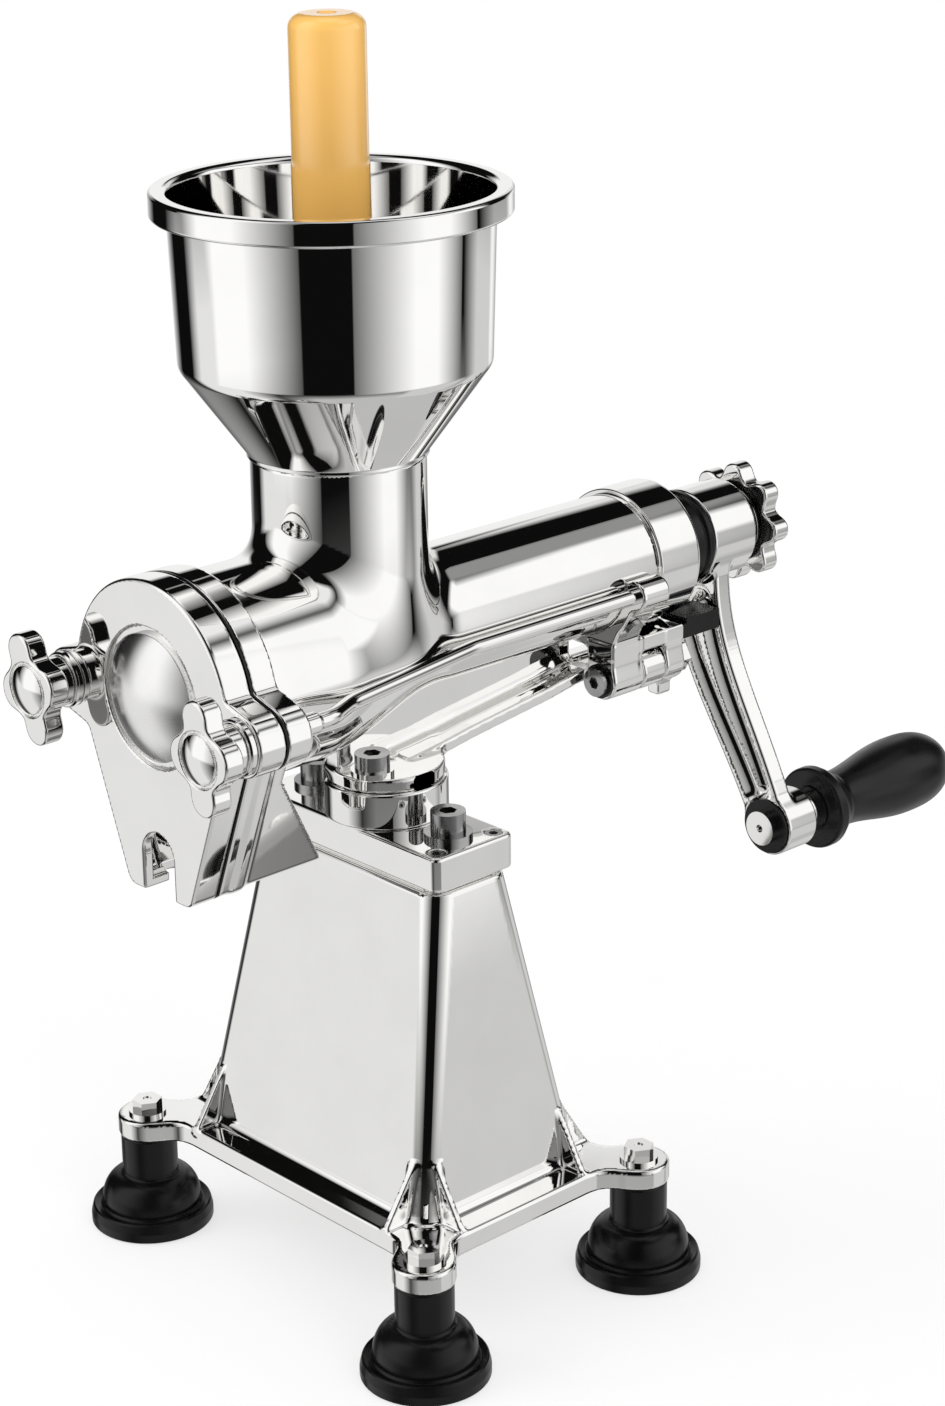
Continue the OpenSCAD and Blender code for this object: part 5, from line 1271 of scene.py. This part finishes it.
@dataclass
class Crank:
    """The crank: hub, curved arm with its channel, boss, grip and star knob."""

    throw: float = 120.0
    lean_deg: float = 22.4
    arm_t: float = 8.5
    hub_r: float = 19.0
    shaft_r: float = 7.55
    boss_r: float = 12.3
    seat_r: float = 11.2
    bolt_r: float = 4.2
    half_hub: float = 13.5
    half_end: float = 9.5
    sway: float = 15.0
    channel_d: float = 4.6
    channel_w: float = 8.4
    channel_span: tuple[float, float] = (0.14, 0.88)
    rib: float = 2.6
    steps: int = 24
    star_lobes: int = 8
    star_disc_r: float = 18.0
    star_lobe_at: float = 16.0
    star_lobe_half: tuple[float, float] = (8.0, 4.6)
    star_len: float = 11.0
    star_gap: float = 3.4
    star_front_r: float = 14.5
    star_boss_r: float = 11.5
    star_bore_r: float = 5.05
    star_bore_d: float = 8.4
    washer_r: float = 16.5
    washer_t: float = 3.2
    flange_r: float = 16.8
    flange_t: float = 4.4
    side_start: float = 4.5
    flare: float = 5.1
    flare_start: float = 3.0
    waist_at: float = 14.0
    waist_r: float = 11.5
    belly_share: float = 0.66
    belly_r: float = 16.0
    ferrule_bore_r: float = 4.3
    ferrule_r: float = 9.5
    ferrule_len: float = 9.0

    def middle(self, count: int) -> tuple[Array, Array]:
        """The arm's middle line, a cubic curve, and its half width at each point.

        Args:
            count: Number of points.

        Returns:
            The points, as X and Z from the shaft, and the half widths.
        """
        t = np.linspace(0, 1, count)[:, None]
        p = np.array([[14.4, -3.0], [51.0, -self.sway], [74.4, -1.5], [self.throw, 0.0]])
        line = p[0] * (1 - t) ** 3 + 3 * p[1] * t * (1 - t) ** 2 + 3 * p[2] * t * t * (1 - t) + p[3] * t**3
        a = math.radians(self.lean_deg - 90)
        turn = np.array([[math.cos(a), -math.sin(a)], [math.sin(a), math.cos(a)]])
        half = self.half_hub + (self.half_end - self.half_hub) * t[:, 0]
        return line @ turn.T, half

    def strip(self, x: Array, z: Array, inset: float, first: float, last: float) -> Array:
        """Distance to a strip along the middle line: the nearest segment's distance less the half width there.

        Args:
            x: Places along X.
            z: Places along Z.
            inset: How far the strip is drawn in.
            first: Where it starts, as a share of the line.
            last: Where it ends.

        Returns:
            The distances.
        """
        line, half = self.middle(self.steps + 1)
        lo, hi = int(first * self.steps), int(last * self.steps)
        best = np.full(np.broadcast(x, z).shape, 1e9)
        for i in range(lo, hi):
            (ax, az), (bx, bz) = line[i], line[i + 1]
            ex, ez = bx - ax, bz - az
            t = np.clip(((x - ax) * ex + (z - SPOT.axis_z - az) * ez) / (ex * ex + ez * ez), 0, 1)
            reach = half[i] + (half[i + 1] - half[i]) * t
            best = np.minimum(best, np.hypot(x - ax - t * ex, z - SPOT.axis_z - az - t * ez) - reach + inset)
        return best

    def shape(self, x: Array, y: Array, z: Array) -> Array:
        """The arm's field: hub, strip and boss joined with fillets, less the bores and the channel in front.

        The channel's depth is a sine of the distance from its edge, so that it's two hollows with a ridge between.

        Args:
            x: Places along X.
            y: Places along Y.
            z: Places along Z.

        Returns:
            The field's values.
        """
        rho = np.hypot(x, z - SPOT.axis_z)
        hub = thick(rho - self.hub_r, y, SPOT.hub_front, SPOT.hub_back, 0.9)
        arm = thick(self.strip(x, z, 0.0, 0.0, 1.0), y, SPOT.arm_front, SPOT.arm_front + self.arm_t, 1.6)
        solid = smooth_union(hub, arm, 3.0)
        far = np.hypot(x - SPOT.grip_x, z - SPOT.grip_z)
        boss = thick(far - self.boss_r, y, SPOT.arm_front, SPOT.boss_back, 1.0)
        solid = smooth_union(solid, boss, 2.0)
        inside = self.strip(x, z, self.rib, *self.channel_span)
        depth = self.channel_d * np.sin(math.pi * np.clip(-inside / self.channel_w, 0, 1))
        groove = np.maximum(inside, (y - SPOT.arm_front - depth) * 0.5)
        solid = smooth_cut(solid, groove, 0.5)
        seat = np.maximum(far - self.seat_r, y - SPOT.arm_front - 0.6)
        holes = np.minimum(np.minimum(seat, far - self.bolt_r), rho - self.shaft_r)
        return smooth_cut(solid, holes, 0.5)

    def star_shape(self, x: Array, y: Array, z: Array) -> Array:
        """The star knob's field: eight lobes about a disc, with a hub in front and a bored middle.

        Args:
            x: Places along X.
            y: Places along Y.
            z: Places along Z.

        Returns:
            The field's values.
        """
        w = z - SPOT.axis_z
        rho = np.hypot(x, w)
        step = 2 * math.pi / self.star_lobes
        a = np.mod(np.arctan2(w, x) + step / 2, step) - step / 2
        u, v = rho * np.cos(a), rho * np.sin(a)
        lobe = box_2d(u - self.star_lobe_at, v, *self.star_lobe_half, 4.5)
        flat = smooth_union(rho - self.star_disc_r, lobe, 5.0)
        y0 = SPOT.hub_back + self.star_gap
        body = thick(flat, y, y0 + 2.0, y0 + 10.0, 0.9)
        hub = thick(rho - self.star_front_r, y, y0, y0 + 5.0, 0.6)
        boss = thick(rho - self.star_boss_r, y, y0 + 5.0, y0 + self.star_len, 1.4)
        solid = smooth_union(smooth_union(body, hub, 1.0), boss, 2.0)
        return smooth_cut(solid, np.maximum(rho - self.star_bore_r, y - y0 - self.star_bore_d), 0.3)

    def grip_profile(self) -> Outline:
        """The grip's side: a thick flange, a waist, a belly and a blunt end, worked out along its length.

        Returns:
            The profile, from the middle of its front to its blunt end.
        """
        length = SPOT.grip_back - SPOT.grip_front
        at = self.side_start + (length - self.side_start) * np.linspace(0.0, 1.0, 90)
        waist, belly = self.waist_at, length * self.belly_share
        down = np.cos(np.pi / 2 * np.clip((at - self.flare_start) / (waist - self.flare_start), 0, 1))
        fall = self.waist_r + self.flare * np.clip(down, 0, 1) ** 1.6
        rise = (1 - np.cos(np.pi * np.clip((at - waist) / (belly - waist), 0, 1))) / 2
        swell = self.waist_r + (self.belly_r - self.waist_r) * rise
        blunt = (np.clip(at - belly, 0, None) / (length - belly + 0.01)) ** 3
        tip = self.belly_r * np.sqrt(np.clip(1 - blunt, 0, 1))
        r = np.where(at < waist, fall, np.where(at < belly, swell, tip))
        side = np.stack([r, at], 1)
        d = np.gradient(side, axis=0)
        nrm = np.stack([d[:, 1], -d[:, 0]], 1)
        edge = self.flange_r
        front = Outline.rounded([(0.0, 0.0, 0.0), (edge, 0.0, 1.4), (edge, self.flange_t, 0.0)], arc=6)
        pts = np.concatenate([front.points, side, [[0.0, length]]])
        return Outline(pts, np.concatenate([front.normals, nrm, [[0.0, 1.0]]]))

    def build(self) -> None:
        """Makes the pieces that turn with the crank."""
        low, high = (-19.0, SPOT.hub_front, 127.0), (60.0, SPOT.hub_back, 270.5)
        dress(cast("crank_casting", self.shape, low, high, 0.8), CASTING, "crank", "polished_casting", "crank_arm")
        front = SPOT.hub_back + self.star_gap
        reach = self.star_lobe_at + self.star_lobe_half[0] + 0.2
        low, high = (-reach, front, SPOT.axis_z - reach), (reach, front + self.star_len, SPOT.axis_z + reach)
        dress(cast("star_casting", self.star_shape, low, high, 0.55), CASTING, "star", "polished_casting", "star_knob")
        x, z = SPOT.grip_x, SPOT.grip_z
        grip = turned("grip_body", self.grip_profile(), (x, SPOT.grip_front, z), Way.BACK, 96)
        dress(grip, GRIP_PLASTIC, "grip", "black_plastic", "grip")
        bore, edge, back = self.ferrule_bore_r, self.ferrule_r, self.ferrule_len
        ferrule = Outline.rounded([(bore, 0.0, 0.0), (edge, 0.0, 0.6), (edge, back, 0.9), (bore, back, 0.0)], arc=5)
        obj = turned("ferrule_ring", ferrule, (x, SPOT.boss_back + 0.1, z), Way.BACK, 72)
        dress(obj, TURNED_STEEL, "crank", "polished_steel", "grip_ferrule")
        bore, edge, back = self.star_bore_r, self.washer_r, self.washer_t
        washer = Outline.rounded([(bore, 0.0, 0.0), (edge, 0.0, 0.5), (edge, back, 0.5), (bore, back, 0.0)], arc=5)
        obj = turned("star_ring", washer, (0, SPOT.hub_back + 0.1, SPOT.axis_z), Way.BACK, 96)
        dress(obj, RUBBER, "star_travel", "black_rubber", "star_washer")


@dataclass
class CloverKnobs:
    """The two cloverleaf knobs on the front studs, and the loose collars behind them."""

    long_reach: float = 20.3
    long_r: float = 6.3
    short_reach: float = 15.2
    short_r: float = 7.4
    middle_r: float = 11.0
    dome_r: float = 8.8
    dome_h: float = 2.3
    turn_deg: tuple[float, float] = (16.0, 6.0)
    front: float = -121.7
    thickness: float = 8.0
    hub_r: float = 9.0
    hub_back: float = -107.2
    bore_r: float = 4.05
    bore_front: float = -121.0
    collar_r: float = 10.2
    collar_neck_r: float = 9.6
    collar_t: float = 3.0

    def shape(self, sx: int) -> Field:
        """Gives the field of the knob on one side.

        Args:
            sx: -1 for the left knob and 1 for the right one.

        Returns:
            The field: two long and two short lobes with fillets between them, a dome inside a shallow moat, and a hub.
        """

        def knob(x: Array, y: Array, z: Array) -> Array:
            """Distance to the knob.

            Args:
                x: Places along X.
                y: Places along Y.
                z: Places along Z.

            Returns:
                The field's values.
            """
            u, w = x - sx * SPOT.stud_x, z - SPOT.stud_z
            rho = np.hypot(u, w)
            a = math.radians(self.turn_deg[0 if sx < 0 else 1])
            cu, cw = u * math.cos(a) + w * math.sin(a), w * math.cos(a) - u * math.sin(a)
            short = np.hypot(np.maximum(np.abs(cu) - self.short_reach + self.short_r, 0), cw) - self.short_r
            long = np.hypot(cu, np.maximum(np.abs(cw) - self.long_reach + self.long_r, 0)) - self.long_r
            flat = smooth_union(smooth_union(long, short, 4.0), rho - self.middle_r, 2.5)
            body = thick(flat, y, self.front, self.front + self.thickness, 1.1)
            ball_r = (self.dome_r**2 + self.dome_h**2) / (2 * self.dome_h)
            ball = np.sqrt(rho**2 + (y - self.front - ball_r + self.dome_h) ** 2) - ball_r
            dome = np.maximum(ball, np.maximum(y - self.front - 2.0, rho - self.dome_r - 0.05))
            moat = np.maximum(np.abs(rho - self.dome_r - 0.6) - 0.7, np.abs(y - self.front) - 0.8)
            solid = np.minimum(smooth_cut(body, moat, 0.5), dome)
            hub = thick(rho - self.hub_r, y, self.front + self.thickness - 2, self.hub_back, 0.8)
            solid = smooth_union(solid, hub, 1.6)
            return smooth_cut(solid, np.maximum(rho - self.bore_r, self.bore_front - y), 0.3)

        return knob

    def build(self) -> None:
        """Makes both knobs and both collars."""
        bore, edge, back = self.bore_r, self.collar_r, self.collar_t
        front = [(bore, 0.0, 0.0), (self.collar_neck_r, 0.0, 0.6), (edge, 0.9, 0.4)]
        collar = Outline.rounded(front + [(edge, back, 0.5), (bore, back, 0.0)], arc=4)
        reach = self.long_reach + 0.1
        for sx, side in ((-1, "left"), (1, "right")):
            x, z = sx * SPOT.stud_x, SPOT.stud_z
            low, high = (x - reach, self.front - 4.0, z - reach), (x + reach, self.hub_back, z + reach)
            knob = cast(f"clover_{side}", self.shape(sx), low, high, 0.5)
            dress(knob, CASTING, side, "polished_casting", f"{side}_knob")
            obj = turned(f"loose_ring_{side}", collar, (x, self.hub_back + 0.1, z), Way.BACK, 72)
            dress(obj, TURNED_STEEL, f"{side}_travel", "polished_steel", f"{side}_collar")


# ---- Studio ---------------------------------------------------------------


@dataclass(frozen=True)
class Window:
    """An opening in the dark curtain round the set.

    Its light climbs from nought to full between the first two values and falls again between the last two, in
    degrees: across is the way round from the front of the machine towards +X, up is the height above the horizon.
    """

    across: tuple[float, float, float, float]
    up: tuple[float, float, float, float]
    level: float = 1.0
    start: float = 0.0

    def light(self, way: Array, height: Array) -> Array:
        """The window's light in each direction: the product of two ramps up and down, times its level.

        The ramp across begins and ends at the start value, so that its sides have an edge there.

        Args:
            way: Degrees round from the front.
            height: Degrees above the horizon.

        Returns:
            The light, from 0 to 1.
        """
        sides = np.interp(way, self.across, (self.start, 1.0, 1.0, self.start), left=0.0, right=0.0)
        return self.level * sides * np.interp(height, self.up, (0.0, 1.0, 1.0, 0.0))


class Softbox(Enum):
    """The curtain's windows, by where they hang round the machine."""

    FRONT = Window((-55, -38, -13, 24), (-18, -10, 58, 74), 1.0, 0.1)
    FRONT_LOW = Window((-70, -58, -22, 6), (-60, -46, -8, 0), 0.78)
    RIGHT = Window((59, 104, 123, 147), (-28, -15, 36, 46), 1.0, 0.16)
    REAR_RIGHT = Window((114, 126, 151, 161), (-2, 10, 39, 47))
    REAR_RIGHT_HIGH = Window((88, 102, 152, 164), (46, 53, 72, 82), 0.85)
    REAR_RIGHT_LOW = Window((90, 104, 148, 176), (-70, -55, -20, -10), 0.6)
    LEFT_SLIT = Window((-66, -63, -59, -56), (-65, -60, -35, -28), 0.6)
    REAR_LEFT = Window((-177, -163, -159, -136), (-20, -10, 6, 20), 0.92)
    LEFT = Window((-150, -139, -117, -91), (-20, -10, 20, 26), 0.9)
    REAR_LEFT_HIGH = Window((-160, -150, -137, -134), (8, 13, 28, 36), 0.75)
    REAR_HIGH = Window((140, 155, 176, 186), (36, 42, 52, 60), 0.28)
    REAR_LOW = Window((150, 168, 192, 210), (-60, -48, -8, 2), 0.62)
    REAR_LOW_ON = Window((-210, -192, -168, -154), (-60, -48, -8, 2), 0.62)
    UNDER_RIGHT = Window((0, 30, 190, 200), (-91, -90, -42, -12), 0.5)
    UNDER_LEFT = Window((-200, -190, -100, -70), (-91, -90, -42, -12), 0.5)
    TOP = Window((-190, -185, 185, 190), (68, 78, 91, 92), 0.7)


@dataclass
class Studio:
    """Camera, floor, lamps and the dark curtain with windows that the polished metal shows."""

    turn_deg: float = 47.2
    pitch_deg: float = 20.1
    roll_deg: float = -0.7
    focal_px: float = 3200.0
    height_px: float = 1406.0
    sensor_mm: float = 36.0
    eye: tuple[float, float, float] = (831.7, -723.6, 625.6)
    curtain_r: float = 1.2
    curtain_z: float = 0.25
    curtain_dark: float = 0.004
    floor_half: float = 4.0
    floor_z: float = -0.0004
    shade: float = 0.32
    shade_in: float = 0.3
    shade_out: float = 0.75
    world_light: float = 0.9
    aim: tuple[float, float, float] = (0.0, 0.0, 0.22)

    def camera(self) -> None:
        """Puts the camera where the view was worked out: turned, pitched down and rolled a little."""
        data = bpy.data.cameras.new("view")
        data.lens = self.focal_px / self.height_px * self.sensor_mm
        data.clip_start, data.clip_end = 0.05, 20.0
        obj = place("view", data)
        a, p, r = (math.radians(v) for v in (self.turn_deg, self.pitch_deg, self.roll_deg))
        ahead = Vector((-math.sin(a) * math.cos(p), math.cos(a) * math.cos(p), -math.sin(p)))
        right = Vector((math.cos(a), math.sin(a), 0.0))
        up = right.cross(ahead)
        side = right * math.cos(r) + up * math.sin(r)
        top = up * math.cos(r) - right * math.sin(r)
        spot = Vector((self.eye[0], self.eye[1] + SPOT.shift_y, self.eye[2])) * MM
        obj.matrix_world = Matrix.Translation(spot) @ Matrix((side, top, -ahead)).transposed().to_4x4()
        bpy.context.scene.camera = obj

    def floor(self) -> None:
        """Lays the pale floor, which thins out with distance into the white surroundings as the camera sees it.

        How much of the floor shows is the shade's strength, times a ramp that falls from 1 at the inner radius to 0 at
        the outer one. The polished metal shows the curtain below it, so the floor isn't in its reflections.
        """
        mesh = bpy.data.meshes.new("floor")
        half, z = self.floor_half, self.floor_z
        mesh.from_pydata([(-half, -half, z), (half, -half, z), (half, half, z), (-half, half, z)], [], [(0, 1, 2, 3)])
        obj = place("floor", mesh)
        mat = new_material("floor_paint")
        tree = mat.node_tree
        shader = tree.nodes["Principled BSDF"].inputs
        shader["Base Color"].default_value = (0.95, 0.95, 0.948, 1.0)
        shader["Roughness"].default_value = 0.7
        shader["Specular IOR Level"].default_value = 0.0
        spot = add_node(tree, "TexCoord", {}).outputs["Object"]
        far = add_node(tree, "VectorMath", {0: spot}, operation="LENGTH").outputs["Value"]
        span = {"From Min": self.shade_in, "From Max": self.shade_out, "To Min": self.shade, "To Max": 0.0}
        near = add_node(tree, "MapRange", {"Value": far, **span}, interpolation_type="SMOOTHSTEP").outputs["Result"]
        seen = add_node(tree, "LightPath", {}).outputs["Is Camera Ray"]
        solid = add_node(tree, "Math", {0: 1.0, 1: seen}, operation="SUBTRACT").outputs[0]
        shown = add_node(tree, "Math", {0: near, 1: solid}, operation="MAXIMUM").outputs[0]
        tree.links.new(shown, shader["Alpha"])
        mesh.materials.append(mat)
        obj.visible_glossy = False

    def curtain(self) -> None:
        """Hangs the curtain: a ball round the set, dark but for its windows.

        A point in the direction (way, height) lies at the radius times (sin way cos height, -cos way cos height,
        sin height). The windows' light there is kept in the mesh, from 0 for black to 1 for the plain white of the
        surroundings. Only reflections meet it, so it puts no light on the object.
        """
        way, height = np.meshgrid(np.arange(-180.0, 181.0), np.arange(-90.0, 90.5, 1.0), indexing="ij")
        light = np.full(way.shape, self.curtain_dark)
        for box in Softbox:
            light = np.maximum(light, box.value.light(way, height))
        a, e = np.radians(way), np.radians(height)
        pts = np.stack([np.sin(a) * np.cos(e), -np.cos(a) * np.cos(e), np.sin(e)], -1) * self.curtain_r
        rows, cols = way.shape
        i, j = np.meshgrid(np.arange(rows - 1), np.arange(cols - 1), indexing="ij")
        k = i * cols + j
        faces = np.stack([k, k + 1, k + cols + 1, k + cols], -1).reshape(-1, 4)
        mesh = bpy.data.meshes.new("curtain")
        mesh.from_pydata(pts.reshape(-1, 3) + np.array([0.0, 0.0, self.curtain_z]), [], faces.tolist())
        mesh.attributes.new("light", "FLOAT", "POINT").data.foreach_set("value", light.ravel().astype(np.float32))
        obj = place("curtain", mesh)
        mat = new_material("curtain_cloth")
        tree = mat.node_tree
        tree.nodes.remove(tree.nodes["Principled BSDF"])
        read = add_node(tree, "Attribute", {}, attribute_name="light")
        glow = add_node(tree, "Emission", {"Strength": read.outputs["Fac"]})
        tree.links.new(glow.outputs["Emission"], tree.nodes["Material Output"].inputs["Surface"])
        mat.cycles.emission_sampling = "NONE"
        mesh.materials.append(mat)
        obj.visible_camera = obj.visible_diffuse = obj.visible_shadow = obj.visible_transmission = False

    def lamp(self, name: str, spot: tuple[float, float, float], size: float, power: float) -> None:
        """Hangs a square lamp that points at the machine's middle.

        Args:
            name: The lamp's name.
            spot: Where it hangs, in metres.
            size: Its side.
            power: Its power in watts.
        """
        data = bpy.data.lights.new(name, "AREA")
        data.size = size
        data.energy = power
        obj = place(name, data)
        obj.location = spot
        obj.rotation_euler = (Vector(self.aim) - Vector(spot)).to_track_quat("-Z", "Y").to_euler()
        obj.visible_glossy = False

    def world(self) -> None:
        """Sets the white surroundings: plain light on the object, and full white behind it.

        Rays that mirror or pass get the same white, but polished metal meets the curtain alone, so the world itself is
        hidden from glossy rays.
        """
        world = bpy.data.worlds.new("studio")
        bpy.context.scene.world = world
        world.use_nodes = True
        world.cycles_visibility.glossy = False
        tree = world.node_tree
        path = add_node(tree, "LightPath", {}).outputs
        seen = path["Is Camera Ray"]
        for name in ("Is Glossy Ray", "Is Transmission Ray"):
            seen = add_node(tree, "Math", {0: seen, 1: path[name]}, operation="MAXIMUM").outputs[0]
        span = {"Value": seen, "To Min": self.world_light, "To Max": 1.0}
        strength = add_node(tree, "MapRange", span).outputs["Result"]
        back = tree.nodes["Background"].inputs
        back["Color"].default_value = (1, 1, 1, 1)
        tree.links.new(strength, back["Strength"])

    def build(self) -> None:
        """Sets the whole studio up."""
        self.camera()
        self.floor()
        self.curtain()
        self.world()
        self.lamp("key", spot=(-1.2, -1.6, 1.9), size=1.2, power=18.0)
        self.lamp("fill", spot=(1.9, -0.4, 1.4), size=1.2, power=10.0)


# ---- Small pieces that stay as they are in the frame ------------------------


@dataclass
class SmallParts:
    """CAD nodes that stay, by finish."""

    screws: tuple[str, ...] = ("plate_screws", "plate_cap_screws", "arm_screw", "bracket_screws", "pivot_bolt")
    sunk: tuple[str, ...] = ("plate_cap_washers", "foot_inserts")
    bright: tuple[str, ...] = ("foot_bolts", "foot_washers", "arm_screw_washer", "pivot_nut", "grip_bolt")
    rubber: tuple[str, ...] = ("pivot_washer", "crank_buffer", "cover_gasket", "grip_washer")
    bushes: tuple[str, ...] = ("rear_bush", "front_bush", "thrust_washer")
    cutting: tuple[str, ...] = ("perforated_plate", "plate_key", "auger", "front_pin", "knife")
    drive: tuple[str, ...] = ("drive_shaft", "crank_key")

    def build(self) -> None:
        """Paints each node."""
        plan = {
            SCREW_STEEL: self.screws + self.sunk,
            TURNED_STEEL: self.bright,
            RUBBER: self.rubber,
            BRONZE: self.bushes,
            CUTTING_STEEL: self.cutting + self.drive,
        }
        for finish, nodes in plan.items():
            for node in nodes:
                paint_node(node, finish)


def main() -> None:
    """Builds the machine in order, from the stand up, and then the studio round it."""
    bpy.context.scene.view_settings.view_transform = "Standard"
    machine = (Stand(), Support(), BarrelCasting(), FrontCover(), RearEnd(), Hopper(), Pusher(), Crank(), CloverKnobs())
    for part in machine + (SmallParts(), Studio()):
        LOG.info("building %s", type(part).__name__)
        part.build()


if __name__ == "__main__":
    main()
